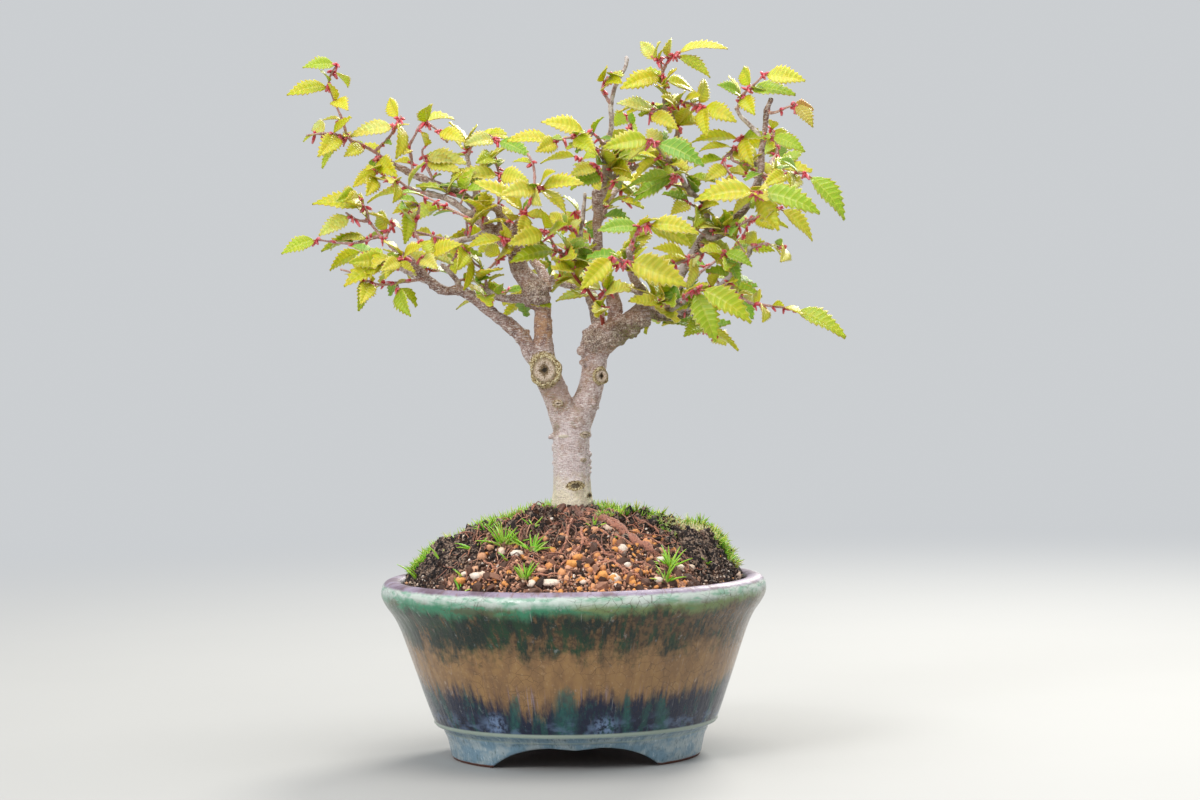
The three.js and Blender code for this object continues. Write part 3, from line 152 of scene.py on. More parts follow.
# The shoots that show: the points of each stem, and each leaf as its stem, its place along it by points,
# the way to its tip and its roll in degrees
SHOOTS = {
    "left_top": {"stems": [[[-50.5, 0, 170.5], [-55.5, -1, 174], [-59, -3, 176], [-62, -4, 177.5],
        [-63.5, -5, 182.5], [-65.5, -6, 187.5], [-67, -7, 193], [-66, -7, 196], [-64.5, -8, 198]],
        [[-62, -4, 177.5], [-66, -8, 178.5], [-69.5, -10, 178.5], [-73, -12, 178]], [[-55, -1, 173.5],
        [-51, -2, 177], [-48.5, -3, 180.5], [-47, -3, 183.5]], [[-54, -0.5, 173], [-53.5, -3, 169],
        [-55, -5, 166.5]]],
        "leaves": [[0, 8, -9.5, -4, -1, 50], [0, 5.8, -12, -4, -2.5, 45], [0, 7.1, 3.5, 9, -4, 20],
            [0, 5.1, 4.5, -9, -3.5, 30], [1, 0.6, -5.5, -9, -6.5, 45], [1, 0.2, -6.5, -3, -9, 15],
            [1, 1.6, -3.5, 8, 3.5, 50], [0, 1.7, -5, -7, -3.5, 55], [2, 2, -12, -3, -5.5, 45],
            [2, 2.5, -0.5, -8, -11, 65], [2, 2.7, -3, 6, 6.5, 60], [3, 0.4, 6, -9, -5.5, 60],
            [3, 1.3, -5.5, -6, -5, 50], [3, 2, -1.5, -9, -6, 45]]},
    "twig_a": {"stems": [[[-44, 1, 166.5], [-44.5, 2, 171.5], [-45, 2, 175], [-43.5, 2, 178], [-41, 2, 182],
        [-38, 1, 180.5], [-36, 0, 178.5], [-34, -1, 176]]],
        "leaves": [[0, 4.4, 1, -11, 4.5, 35], [0, 5.7, 8, -6, -3.5, 50]]},
    "left_tip_low": {"stems": [[[-39, -6, 161], [-45, -7, 163], [-48, -9, 165], [-50.5, -10, 164.5]]],
        "leaves": [[0, 2.2, -0.5, -7, -6.5, 60]]},
    "left_spur": {"stems": [[[-33, -5, 147.5], [-39.5, -7, 149.5], [-43.5, -9, 150.5], [-46.5, -9, 152.5]],
        [[-43.5, -9, 150.5], [-42.5, -8, 155], [-42, -8, 158], [-44.5, -10, 157.5], [-46, -11, 155.5]],
        [[-43.5, -9, 150.5], [-41.5, -11, 147], [-39, -12, 143.5], [-41.5, -14, 143]]],
        "leaves": [[1, 2.1, -7, -5, -2.5, 40], [1, 3.5, -2, -9, -4.5, 50], [2, 2.2, 10, -6, 3, 60],
            [2, 2.9, 5, -8, -3.5, 45]]},
    "low_left_end": {"stems": [[[-49, -9, 145.2], [-53.5, -9, 150], [-56, -9, 153.5], [-57, -10, 157],
        [-59.5, -9, 161]], [[-56, -9, 153.5], [-59.5, -11, 154], [-62.5, -12, 156]], [[-53, -9, 149.5],
        [-59.5, -12, 147.5], [-64.5, -13, 147.5], [-70.5, -14, 148.5]], [[-52, -9, 148.5],
        [-50.5, -6, 151.5], [-50, -4, 154.5]]],
        "leaves": [[0, 3.1, -14.5, -5, 1, 40], [0, 3.7, -7, -7, -4.5, 65], [0, 4, -5, -11, -2, 60],
            [1, 1.5, -9, -4, -5.5, 55], [2, 3, -10, -3, -4, 50], [2, 0.4, -14.5, 3, -3.5, -20],
            [3, 0.7, -3, 8, 6, 60], [3, 1.5, 3, 9, -3.5, 50]]},
    "low_left_mid": {"stems": [[[-46, -9, 143.2], [-46.5, -13, 143], [-47.5, -16, 142]],
        [[-46.5, -11, 143.2], [-49.5, -13, 144], [-51.5, -14, 142.5]]],
        "leaves": [[0, 1.7, -5, -8, -3, 55], [0, 1.6, -4, -6, -5.5, 10], [0, 1, 6, -8, 3, 60],
            [1, 1.8, -10.5, -5, -1, 75], [1, 2, -11.5, -4, -7.5, 50]]},
    "low_left_out": {"stems": [[[-40, -9, 137], [-44.5, -11, 136.5], [-48.5, -12, 136], [-53, -13, 135.5],
        [-57.5, -15, 137], [-61, -15, 139], [-64, -15, 140]], [[-48.5, -12, 136], [-48, -14, 134]]],
        "leaves": [[0, 4.1, -3, -5, -8, 60], [0, 3.6, -2.5, -8, -6.5, 35], [0, 2.8, -5.5, 8, -4.5, 20],
            [1, 0.8, 4, -7, -8, 70]]},
    "collar_tip": {"stems": [[[-23, -10, 133.4], [-24, -10, 139], [-27, -10, 141.5], [-28.5, -12, 144.5],
        [-30, -13, 146]], [[-24, -10, 138], [-20.5, -6, 141.5], [-18.5, -4, 143.5]]],
        "leaves": [[0, 3, -1, -6, -11, 80], [0, 3.6, -6.5, -9, -2.5, 50], [1, 1.9, -5, 8, 2.5, 60],
            [1, 1.3, 4, -9, 2, 55]]},
    "trunk_shoot": {"stems": [[[-15.5, -3, 146], [-17, -8, 147.5], [-18, -13, 148]]],
        "leaves": [[0, 1.8, -10.5, -4, -2.5, 35], [0, 1.4, 11.5, -3, -2, 35], [0, 2, -0.5, -10, 4.5, 55]]},
    "inner_end": {"stems": [[[-1.2, -5.6, 143], [-3, -9, 144.5], [-5, -13, 148], [-6.5, -15, 150]]],
        "leaves": [[0, 1, -13.5, -4, -3.5, 45], [0, 2.8, -11, -5, -1, 70], [0, 2.2, 5.5, -9, 3, 55],
            [0, 3, -1, -11, 3.5, 50]]},
    "star": {"stems": [[[-14, -7.2, 152.6], [-11, -12, 157.5], [-9, -16, 161], [-7.5, -19, 162]],
        [[-9.5, -15, 160.5], [-9, -12, 165], [-9.5, -11, 169], [-11, -10, 172]], [[-12.8, -9.2, 154.6],
        [-11.5, -12, 155]]],
        "leaves": [[0, 3, 12.5, -5, 0.5, 45], [0, 2.6, -10.5, -7, -2, 60], [0, 2.8, 7.5, -5, -7.5, 15],
            [0, 2.3, 1.5, -8, -6.5, 75], [0, 3, 2.5, -9, 4, 55], [2, 0.9, -14.5, -3, 9, 40],
            [2, 1, -4.5, -6, -6.5, 50]]},
    "mid_left_rise": {"stems": [[[-19.5, -3.6, 156], [-19.5, 0, 161], [-18.5, 1, 165], [-20, 4, 168.5],
        [-21, 6, 172]]],
        "leaves": [[0, 2.3, -14, -3, 0, 40], [0, 2.5, 8.5, -8, -2.5, 65], [0, 3.9, -5, -10, -2, 50]]},
    "twig_b": {"stems": [[[-37.5, 1, 163.5], [-40, 3, 169], [-41.5, 4, 173.5], [-40.5, 2, 175]]],
        "leaves": [[0, 1.7, 12.5, -5, -2.5, 45], [0, 1.4, 9.5, -6, -6, 50]]},
    "upper_back_tip": {"stems": [[[-28.8, 13.6, 172], [-28, 14, 175], [-27, 14, 178], [-24, 12, 179],
        [-20, 7, 176.5]]],
        "leaves": [[0, 3.8, -8, -8, -4.5, 50], [0, 4, 9.5, -5, -5, 45]]},
    "riser_left_top": {"stems": [[[10.7, 1.3, 174.5], [7.5, -6, 177.5], [2.5, -12, 176.5],
        [-3.5, -16, 175]]],
        "leaves": [[0, 3, -13, -3, 0, 40], [0, 1.3, -13, -3, 3.5, 55], [0, 2, 6, -9, -5.5, 45],
            [0, 2.9, -5.5, -9, -3.5, 65]]},
    "riser_left": {"stems": [[[11, 3, 165.4], [9.5, -2, 166.5], [8.5, -5, 168.5]]],
        "leaves": [[0, 1.7, -8, -6, -2.5, 50], [0, 0.8, -8, -8, -3.5, 60]]},
    "riser_side_tip": {"stems": [[[12.2, 3.8, 166.4], [14, 5, 171], [15.5, 3, 174]]],
        "leaves": [[0, 1.6, 7, -8, -3, 55], [0, 0.8, 3, -9, -5.5, 60]]},
    "right_fore_low": {"stems": [[[32.5, -7, 164.3], [31, -14, 165], [29.5, -20, 165]]],
        "leaves": [[0, 1.6, -13, -4, -3.5, -30], [0, 0.8, -12.5, 6, -7, 60]]},
    "fore_mid": {"stems": [[[17.1, -33, 143.6], [19, -42, 148], [20.5, -47, 150], [22, -49, 150.5]]],
        "leaves": [[0, 1.9, -12, -4, -1, 50], [0, 3, 14, -2, -3, 45], [0, 2.6, 12.5, 3, -6, 60]]},
    "fore_top": {"stems": [[[29.2, -14.6, 169], [26, -21, 172], [24.5, -27, 174], [23.5, -30, 174.5]]],
        "leaves": [[0, 2.8, -13.5, -4, -2.5, 60], [0, 1.8, 13.5, -4, -7, 50], [0, 2.3, -7, 7, -5.5, 60]]},
    "top_left": {"stems": [[[13, -4, 185.6], [11.5, -5, 188], [10.5, -6, 189.5], [11, -7, 192],
        [13, -8, 193.5]]],
        "leaves": [[0, 2.9, 1, -9, 3.5, 50], [0, 3.6, 4, -9, -2, 50]]},
    "top": {"stems": [[[28.5, 9.2, 188.6], [28.5, 8, 192.5], [28, 7, 195], [27.5, 5, 197.5], [26, 4, 199.5]],
        [[28, 7, 195.5], [29.5, 6, 198.5], [31, 4, 200], [32, 3, 200.5]]],
        "leaves": [[0, 3.5, -5, 4, 6, 70], [0, 3.7, 1, -7, 4.5, 65], [0, 1.8, -12.5, -5, -4, 55],
            [0, 1.2, 9, 8, -3, 50], [1, 2.6, 15, -3, 1, 25], [1, 2.2, 10.5, 4, -6.5, -20]]},
    "top_low": {"stems": [[[32, 13, 181.8], [32, 10, 184], [29, 8, 184.5], [26, 5, 184.5], [23.5, 2, 183]],
        [[30.5, 9, 184.3], [33, 7, 186.5], [36.5, 4, 186], [39.5, 2, 185]]],
        "leaves": [[0, 3.2, -11, -4, 2, 50], [0, 3.8, 8, -6, -5, 50], [1, 0.3, -4, -9, 3, 60],
            [1, 1.2, 5, -8, 1.5, 45], [1, 2.9, 9.5, -6, -5, 60], [1, 2.9, 1, -5, -9, 40],
            [1, 2.5, 2, 7, 8, 60]]},
    "right_top": {"stems": [[[49.3, 6.8, 184], [50.5, 5, 187.5], [52, 3, 189.5], [54.5, 1, 191.5],
        [56.5, 0, 193.5]]],
        "leaves": [[0, 1.2, -7.5, -7, 3, 60], [0, 2.1, 13.5, -4, -2, 40], [0, 4, 12, -3, -2, 65],
            [0, 1.2, 3.5, -9, -4, 40], [0, 2.5, -2, 9, 4.5, 60]]},
    "right_spur": {"stems": [[[52.8, 3.6, 168.8], [48, 5, 169.5], [47.5, 6, 172.5], [49.5, 7, 174],
        [50.5, 5, 176.5]], [[47.5, 6, 172], [45, 4, 170], [46, 2, 167], [48, 1, 164], [50, 0, 162.5]]],
        "leaves": [[0, 3.7, -14, 4, -0.5, -25], [0, 2.5, -10.5, -5, -1, 20], [0, 4, 3, -5, -9, 65],
            [1, 1.7, -6.5, -7, -4.5, 50], [1, 2.5, -4.5, -8, -6, 60]]},
    "right_mid": {"stems": [[[56.6, 2, 176.6], [57.5, -1, 176.5], [59, -2, 176]]],
        "leaves": [[0, 1.6, 9.5, -4, -5, 50]]},
    "right_red": {"stems": [[[57.5, 2, 183], [60, 0, 183], [62.5, -2, 184], [65.5, -3, 185]]],
        "leaves": [[0, 3, 4.5, -5, -7, 30], [0, 2.7, 6.5, 6, -1, 60]]},
    "right_out": {"stems": [[[55.2, 2, 165.4], [58, -1, 165], [61, -3, 165.5], [65, -4, 165.5],
        [68.5, -5, 165]]],
        "leaves": [[0, 3.2, -5.5, -9, 3.5, 60], [0, 3.9, 10.5, -2, -13.5, 40], [0, 1.4, -1, 8, 4.5, 60],
            [0, 2.5, -7.5, -7, -4, 50], [0, 2.8, 1.5, -9, -5.5, 45]]},
    "right_fore": {"stems": [[[53, 3, 159.4], [53, -10, 159], [53.5, -22, 159.5], [53, -32, 159.5]],
        [[53, -12, 159], [56.5, -20, 157.5], [59, -24, 155]]],
        "leaves": [[0, 2.5, 17, -2, -6.5, 50], [0, 2, 5.5, -4, -11, 60], [0, 2.5, -18, -3, -2.5, 45],
            [0, 1.8, -7, -5, -6, -60], [1, 2, 9.5, 2, -9.5, 50]]},
    "fore_low": {"stems": [[[31.6, -22, 129.2], [34, -27, 132], [36, -31, 133]]],
        "leaves": [[0, 2, 14.5, -3, -10, 50], [0, 1.6, 8, -5, -13, 60]]},
    "low_right_in": {"stems": [[[34.5, 2, 126.5], [37.5, 5, 124], [39.5, 8, 121.5]]],
        "leaves": [[0, 1.9, -12.5, 3, 1.5, 30], [0, 1.3, -5.5, -9, -4, 45]]},
    "low_right_up": {"stems": [[[47.4, 0, 138.2], [46, -3, 141.5], [44, -5, 143.5]]],
        "leaves": [[0, 1.9, 8, -4, -4.5, 40], [0, 1.5, 3.5, -3, -9, 15]]},
    "low_right_tip": {"stems": [[[51.9, -1.8, 144.2], [56, -3, 145.5], [59.5, -3, 144.5],
        [61.5, -5, 144.5]]],
        "leaves": [[0, 2.9, -1.5, -10, -4.5, 60], [0, 0.5, -2, 8, 4, 50]]},
    "low_right_drop": {"stems": [[[45.2, 0, 134.8], [48.5, -2, 131], [52, -4, 128.5], [55.5, -5, 128],
        [58.5, -6, 127.5], [62.5, -6, 127], [64.5, -6, 126.5]]],
        "leaves": [[0, 2.9, -0.5, -8, -5, 50], [0, 2.7, -0.5, 9, 3.5, 50], [0, 5.7, 14.5, -3, -8.5, 35]]},
    "fore_twig_tip": {"stems": [[[17.8, -21, 137], [15, -30, 140.5], [12.5, -35, 142]], [[15, -29, 140.3],
        [16.5, -34, 141]]],
        "leaves": [[0, 2, -9, -4, -9, 65], [1, 1, 16.5, -4, -7.5, 70]]},
    "right_in": {"stems": [[[38.3, 11, 146.4], [38.5, 2, 143.5], [36.5, -4, 142.5], [33, -9, 141],
        [29, -12, 139.5]]],
        "leaves": [[0, 2.3, -2, -6, -9, 70], [0, 2.7, -10, -7, 3, 50], [0, 1, 4.5, 9, -3.5, 50]]},
    "right_fork_tip": {"stems": [[[46, -1.3, 149], [51, -4, 152], [54, -5, 153], [55.5, -6, 154]]],
        "leaves": [[0, 2.6, 5.5, 9, 3, 50], [0, 2.1, 4, -8, -4, 50]]},
    "right_up_side": {"stems": [[[39.8, 5.2, 155.4], [37.5, 1, 156], [34.5, -3, 157.5]]],
        "leaves": [[0, 1.1, -1.5, -9, -6, 60], [0, 1.9, -5.5, -8, -3.5, 40], [0, 0.8, 5, -8, 3, 50]]},
    "thin_tip": {"stems": [[[3.6, 7, 147], [1.5, 5, 150.5], [-1.5, 3, 151.5]]],
        "leaves": [[0, 1.9, -4, 8, 4, 50], [0, 1.5, 3.5, 10, 3.5, 50]]},
    "back_left_inner": {"stems": [[[-7, 11, 135.7], [-9, 14, 133], [-12, 16, 130.5]]],
        "leaves": [[0, 1.9, -8, 3, -5.5, -30], [0, 1.1, -8.5, 6, 0.5, 40]]},
    "back_mid_inner": {"stems": [[[7, 24, 129.5], [10, 20, 131], [10.5, 16, 133]]],
        "leaves": [[0, 1, -14, -6, -1, 20], [0, 1.7, -14.5, 6, 1, 25]]},
}

# The shoots on the far side: the points of each stem, and how many leaves each stem holds
BACK_SHOOTS = {
    "back_left": {"stems": [[[-15.5, 35, 145.6], [-20, 40, 148], [-26, 43, 150]]], "counts": [3]},
    "back_mid": {"stems": [[[6.4, 37, 139], [8, 42, 146], [6, 44, 152], [2, 46, 157]], [[6.9, 39, 141.5],
        [14, 43, 141], [20, 44.5, 142]]],
        "counts": [3, 2]},
    "back_mid_left": {"stems": [[[-9.5, 42.4, 135.5], [-17, 44, 134], [-24, 44, 131]]], "counts": [2]},
    "back_right": {"stems": [[[37.5, 32, 137], [46, 40, 143], [51, 42, 147], [54, 43, 153]],
        [[40.5, 35, 139], [45, 37, 134], [50, 38, 131]]],
        "counts": [3, 2]},
    "back_low": {"stems": [[[33, 27, 123.6], [38, 32, 122], [44, 35, 119]]], "counts": [2]},
    "back_top": {"stems": [[[15, 31, 163.4], [19, 37, 172], [20, 40, 178], [18, 41, 185]], [[16, 33, 165.5],
        [9, 37, 168], [3, 39, 173]]],
        "counts": [3, 2]},
    "back_up_left": {"stems": [[[-26.5, 29, 153.6], [-34.5, 37, 157.5], [-41, 40, 161], [-48, 41, 164]],
        [[-30, 33, 155.5], [-31, 36, 149], [-36, 39, 146]]],
        "counts": [2, 2]},
    "low_left_back": {"stems": [[[-51.5, 19, 141.8], [-56, 27, 144], [-61, 32, 146]]], "counts": [2]},
    "right_back": {"stems": [[[59.8, 26.2, 169.6], [62, 33, 174], [61, 37, 180]]], "counts": [3]},
}

# Node trees


def operator(operation, turned=False):
    """A Math node of two values, the other way round if turned."""
    def apply(self, other=0.0):
        return self.board.math(operation, *((other, self) if turned else (self, other)))
    return apply


class Value:
    """A socket's value. An expression on it adds the Math nodes."""

    def __init__(self, board, socket):
        self.board, self.socket = board, socket

    def output(self, name):
        return Value(self.board, self.socket.node.outputs[name])

    __add__, __radd__ = operator("ADD"), operator("ADD", True)
    __sub__, __rsub__ = operator("SUBTRACT"), operator("SUBTRACT", True)
    __mul__, __rmul__ = operator("MULTIPLY"), operator("MULTIPLY", True)
    __truediv__, __pow__, __abs__ = operator("DIVIDE"), operator("POWER"), operator("ABSOLUTE")


class Board:
    """A node tree as it is laid out."""

    def __init__(self, tree):
        self.tree = tree

    def node(self, kind, settings=None, inputs=None, output=0):
        node = self.tree.nodes.new(kind)
        for key, value in (settings or {}).items():
            if key == "stops":
                self.set_stops(node.color_ramp, value)
            else:
                setattr(node, key, value)
        for key, value in (inputs or {}).items():
            if isinstance(value, Value):
                self.tree.links.new(value.socket, node.inputs[key])
            elif value is not None:
                node.inputs[key].default_value = value
        return Value(self, node.outputs[output])

    @staticmethod
    def set_stops(ramp, stops):
        while len(ramp.elements) < len(stops):
            ramp.elements.new(1.0)
        for element, (position, colour) in zip(ramp.elements, stops):
            element.position = position
            element.color = colour

    def math(self, operation, first, second):
        return self.node("ShaderNodeMath", {"operation": operation}, {0: first, 1: second})


def linear(colour):
    """A colour as it is seen, 0 to 255, made linear. Whatever isn't three numbers stays."""
    if not isinstance(colour, tuple) or len(colour) != 3:
        return colour
    parts = [value / 255 for value in colour]
    return (*(part / 12.92 if part <= 0.04045 else ((part + 0.055) / 1.055) ** 2.4 for part in parts), 1.0)


class Finish(Board):
    """A material, with its Object coordinates in millimetres."""

    def __init__(self, name):
        self.material = bpy.data.materials.new(name)
        self.material.use_nodes = True
        super().__init__(self.material.node_tree)
        self.tree.nodes.clear()
        place = self.node("ShaderNodeTexCoord", output="Object")
        self.place = self.scaled(place, (1 / MM, 1 / MM, 1 / MM))

    def scaled(self, vector, factors):
        return self.node("ShaderNodeVectorMath", {"operation": "MULTIPLY"}, {0: vector, 1: factors})

    def split(self, vector):
        x = self.node("ShaderNodeSeparateXYZ", inputs={0: vector})
        return x, x.output("Y"), x.output("Z")

    def joined(self, x, y, z):
        return self.node("ShaderNodeCombineXYZ", inputs={0: x, 1: y, 2: z})

    def noise(self, vector, scale, detail=3.0, roughness=0.55):
        return self.node("ShaderNodeTexNoise", {}, {
            "Vector": vector, "Scale": scale, "Detail": detail, "Roughness": roughness})

    def cells(self, vector):
        """How far a point is from the edge of its cell."""
        return self.node(
            "ShaderNodeTexVoronoi", {"feature": "DISTANCE_TO_EDGE"}, {"Vector": vector, "Scale": 1.0})

    def step(self, value, low, high):
        """0 below low, 1 above high and smooth between; low over high turns it round."""
        return self.node("ShaderNodeMapRange", {"interpolation_type": "SMOOTHSTEP"}, {
            0: value, 1: low, 2: high, 3: 0.0, 4: 1.0})

    def near(self, point, inner, outer):
        """1 within a distance of a point, falling to 0."""
        distance = self.node("ShaderNodeVectorMath", {"operation": "DISTANCE"}, {
            0: self.place, 1: point}, output="Value")
        return self.step(distance, outer, inner)

    def ramp(self, value, *stops):
        stops = [(place, linear(colour)) for place, colour in stops]
        return self.node("ShaderNodeValToRGB", {"stops": stops}, {0: value})

    def mix(self, mask, first, second):
        return self.node("ShaderNodeMix", {"data_type": "RGBA"}, {
            0: mask, 6: linear(first), 7: linear(second)}, output=2)

    def layered(self, colour, *layers):
        """Each layer's colour laid over the ones before by its mask."""
        for mask, over in layers:
            colour = self.mix(mask, colour, over)
        return colour

    def attribute(self, name):
        return self.node("ShaderNodeAttribute", {"attribute_name": name}, output="Fac")

    def surface(self, colour, roughness, bumps=(), **plain):
        """The finish itself. bumps are heights with their depth in millimetres."""
        normal = None
        for height, depth in bumps:
            normal = self.node("ShaderNodeBump", {}, {
                "Strength": 1.0, "Distance": depth * MM, "Height": height, "Normal": normal})
        inputs = {"Base Color": colour, "Roughness": roughness, "Normal": normal}
        inputs.update({name.replace("_", " "): value for name, value in plain.items()})
        return self.close(self.node("ShaderNodeBsdfPrincipled", {}, inputs))

    def close(self, shader):
        output = self.tree.nodes.new("ShaderNodeOutputMaterial")
        self.tree.links.new(shader.socket, output.inputs["Surface"])
        return self.material


# Pieces


class Heap:
    """A piece's vertices and faces as they are gathered."""

    def __init__(self):
        self.points, self.faces, self.slots, self.corners = [], [], [], []
        self.tones, self.pales, self.smooth = [], [], []

    def add(self, points, faces, slot=0, tone=0.5, pale=0.0, corners=None, smooth=None):
        start = len(self.points)
        self.smooth.extend(smooth or [True] * len(faces))
        self.points.extend(points)
        self.faces.extend([[start + i for i in face] for face in faces])
        self.slots.extend([slot] * len(faces))
        count = sum(len(face) for face in faces)
        self.corners.extend(corners if corners is not None else [(0.5, 0.5)] * count)
        self.tones.extend(tone if isinstance(tone, list) else [tone] * len(points))
        self.pales.extend(pale if isinstance(pale, list) else [pale] * len(points))

    def take(self, mesh, slot):
        """Adds a mesh with its own shades and map."""
        points = [vertex.co.copy() for vertex in mesh.vertices]
        faces = [list(polygon.vertices) for polygon in mesh.polygons]
        layer = mesh.uv_layers.get("blade")
        corners = None
        if layer:
            corners = [tuple(layer.data[i].uv) for polygon in mesh.polygons for i in polygon.loop_indices]
        values = {}
        for name in ("tone", "pale"):
            attribute = mesh.attributes.get(name)
            values[name] = [item.value for item in attribute.data] if attribute else [0.5] * len(points)
        smooth = [polygon.use_smooth for polygon in mesh.polygons]
        self.add(points, faces, slot, values["tone"], values["pale"], corners, smooth)

    def mesh(self, name, finishes):
        mesh = bpy.data.meshes.new(name)
        mesh.from_pydata([tuple(p) for p in self.points], [], self.faces)
        for finish in finishes:
            mesh.materials.append(finish)
        mesh.polygons.foreach_set("material_index", self.slots)
        mesh.polygons.foreach_set("use_smooth", self.smooth)
        layer = mesh.uv_layers.new(name="blade")
        layer.data.foreach_set("uv", np.array(self.corners, dtype=np.float32).ravel())
        for label, values in (("tone", self.tones), ("pale", self.pales)):
            mesh.attributes.new(label, "FLOAT", "POINT").data.foreach_set("value", values)
        mesh.update()
        return mesh

    def piece(self, name, finishes):
        piece = bpy.data.objects.new(name, self.mesh(name, finishes))
        bpy.context.scene.collection.objects.link(piece)
        return piece


def dress(heap, name, finishes, node=None):
    """Makes the heap's piece. It stands for the CAD node that is named, if one is."""
    piece = heap.piece(name, finishes)
    if node:
        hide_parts(node)
    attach(piece, "root")


def settle(carrier, name):
    """The carrier's shape with its modifiers applied, as a plain mesh; the carrier goes."""
    graph = bpy.context.evaluated_depsgraph_get()
    mesh = bpy.data.meshes.new_from_object(
        carrier.evaluated_get(graph), preserve_all_data_layers=True, depsgraph=graph)
    mesh.name = name
    bpy.data.objects.remove(carrier, do_unlink=True)
    return mesh


def set_input(modifier, label, value):
    for item in modifier.node_group.interface.items_tree:
        if item.item_type == "SOCKET" and item.in_out == "INPUT" and item.name == label:
            modifier[item.identifier] = value


def around(angle, reach=1, z=0):
    """The point at an angle about the upright axis."""
    return Vector((math.cos(angle) * reach, math.sin(angle) * reach, z))


def stretched(point, factors):
    return Vector([part * factor for part, factor in zip(point, factors)])


def stray(draw, lowest, highest):
    """A random way, with its rise between two limits."""
    return Vector((draw.uniform(-1, 1), draw.uniform(-1, 1), draw.uniform(lowest, highest)))


def smooth_path(rows, spacing):
    """Points and radii along a smooth curve through rows of x, y, z and radius."""
    rows = [np.array(row, dtype=float) for row in rows]
    padded = [2 * rows[0] - rows[1], *rows, 2 * rows[-1] - rows[-2]]
    out = []
    for i in range(1, len(padded) - 2):
        a, b, c, d = padded[i - 1:i + 3]
        count = max(1, round(float(np.linalg.norm((c - b)[:3])) / spacing))
        for k in range(count):
            t = k / count
            out.append(0.5 * (2 * b + (c - a) * t + (2 * a - 5 * b + 4 * c - d) * t * t
                              + (3 * b - a - 3 * c + d) * t ** 3))
    out.append(rows[-1])
    return [(Vector(row[:3]), max(0.15, float(row[3]))) for row in out]


def tube(heap, path, sides, slot=0, tone=0.5, pale=0.0, round_end=True):
    """A closed tube through points with a radius each, in millimetres."""
    count = len(path)
    centres = [p for p, _ in path]
    tangents = [(centres[min(i + 1, count - 1)] - centres[max(i - 1, 0)]).normalized() for i in range(count)]
    side = Vector((0, 1, 0)) if abs(tangents[0].y) < 0.9 else Vector((1, 0, 0))
    points, faces, corners = [], [], []
    for i, (centre, radius) in enumerate(path):
        side = (side - tangents[i] * side.dot(tangents[i])).normalized()
        across = tangents[i].cross(side)
        for k in range(sides):
            angle = 2 * math.pi * k / sides
            points.append((centre + (side * math.cos(angle) + across * math.sin(angle)) * radius) * MM)
    for i in range(count - 1):
        for k in range(sides):
            a, b = i * sides + k, i * sides + (k + 1) % sides
            faces.append([a, b, b + sides, a + sides])
            corners.extend([(k / sides, i / 10), ((k + 1) / sides, i / 10),
                            ((k + 1) / sides, (i + 1) / 10), (k / sides, (i + 1) / 10)])
    bulge = path[-1][1] * 0.8 if round_end else 0
    points.append(centres[0] * MM)
    points.append((centres[-1] + tangents[-1] * bulge) * MM)
    first, last, top = len(points) - 2, len(points) - 1, (count - 1) * sides
    for k in range(sides):
        faces.append([first, (k + 1) % sides, k])
        faces.append([last, top + k, top + (k + 1) % sides])
        corners.extend([(0.5, 0.5)] * 6)
    heap.add(points, faces, slot, tone, pale, corners)


def lathe(heap, profile, sides, shape):
    """A closed turned form from radii and heights, with shape moving each point."""
    points, faces = [], []
    for radius, z in profile:
        for k in range(sides):
            points.append(shape(around(2 * math.pi * k / sides, radius, z)) * MM)
    rings = len(profile)
    for i in range(rings):
        for k in range(sides):
            a, b = i * sides + k, i * sides + (k + 1) % sides
            c, d = (a + sides) % (rings * sides), (b + sides) % (rings * sides)
            faces.append([a, b, d, c])
    heap.add(points, faces)


def wobble(point, scale, seed=0.0):
    """Smooth noise from about -1 to 1."""
    return noise.noise(Vector((point[0], point[1], point[2])) * scale + Vector((seed, seed * 1.7, -seed)))


# Camera, light and floor

CAMERA_PLACE = Vector((8.4, -920, 130))
CAMERA_LENS = 96.3
CAMERA_PITCH = math.radians(1.773)
CAMERA_ROLL = math.radians(0.95)
BACKDROP = (0.60, 0.62, 0.64, 1)


def add_camera():
    camera = bpy.data.objects.new("camera", bpy.data.cameras.new("camera"))
    camera.data.lens = CAMERA_LENS
    camera.data.sensor_width = 36
    camera.data.clip_start = 0.01
    forward = Vector((0, math.cos(CAMERA_PITCH), -math.sin(CAMERA_PITCH)))
    right = Vector((1, 0, 0))
    up = right.cross(forward)
    turned_right = right * math.cos(CAMERA_ROLL) - up * math.sin(CAMERA_ROLL)
    turned_up = right * math.sin(CAMERA_ROLL) + up * math.cos(CAMERA_ROLL)
    turn = Matrix((turned_right, turned_up, -forward)).transposed().to_4x4()
    camera.matrix_world = Matrix.Translation(CAMERA_PLACE * MM) @ turn
    bpy.context.scene.collection.objects.link(camera)
    bpy.context.scene.camera = camera


def add_light(name, place, target, size, power, colour=(1, 1, 1)):
    data = bpy.data.lights.new(name, "AREA")
    data.shape = "DISK"
    data.size, data.energy, data.color = size, power, colour
    light = bpy.data.objects.new(name, data)
    light.location = Vector(place)
    light.rotation_euler = (Vector(target) - Vector(place)).to_track_quat("-Z", "Y").to_euler()
    bpy.context.scene.collection.objects.link(light)


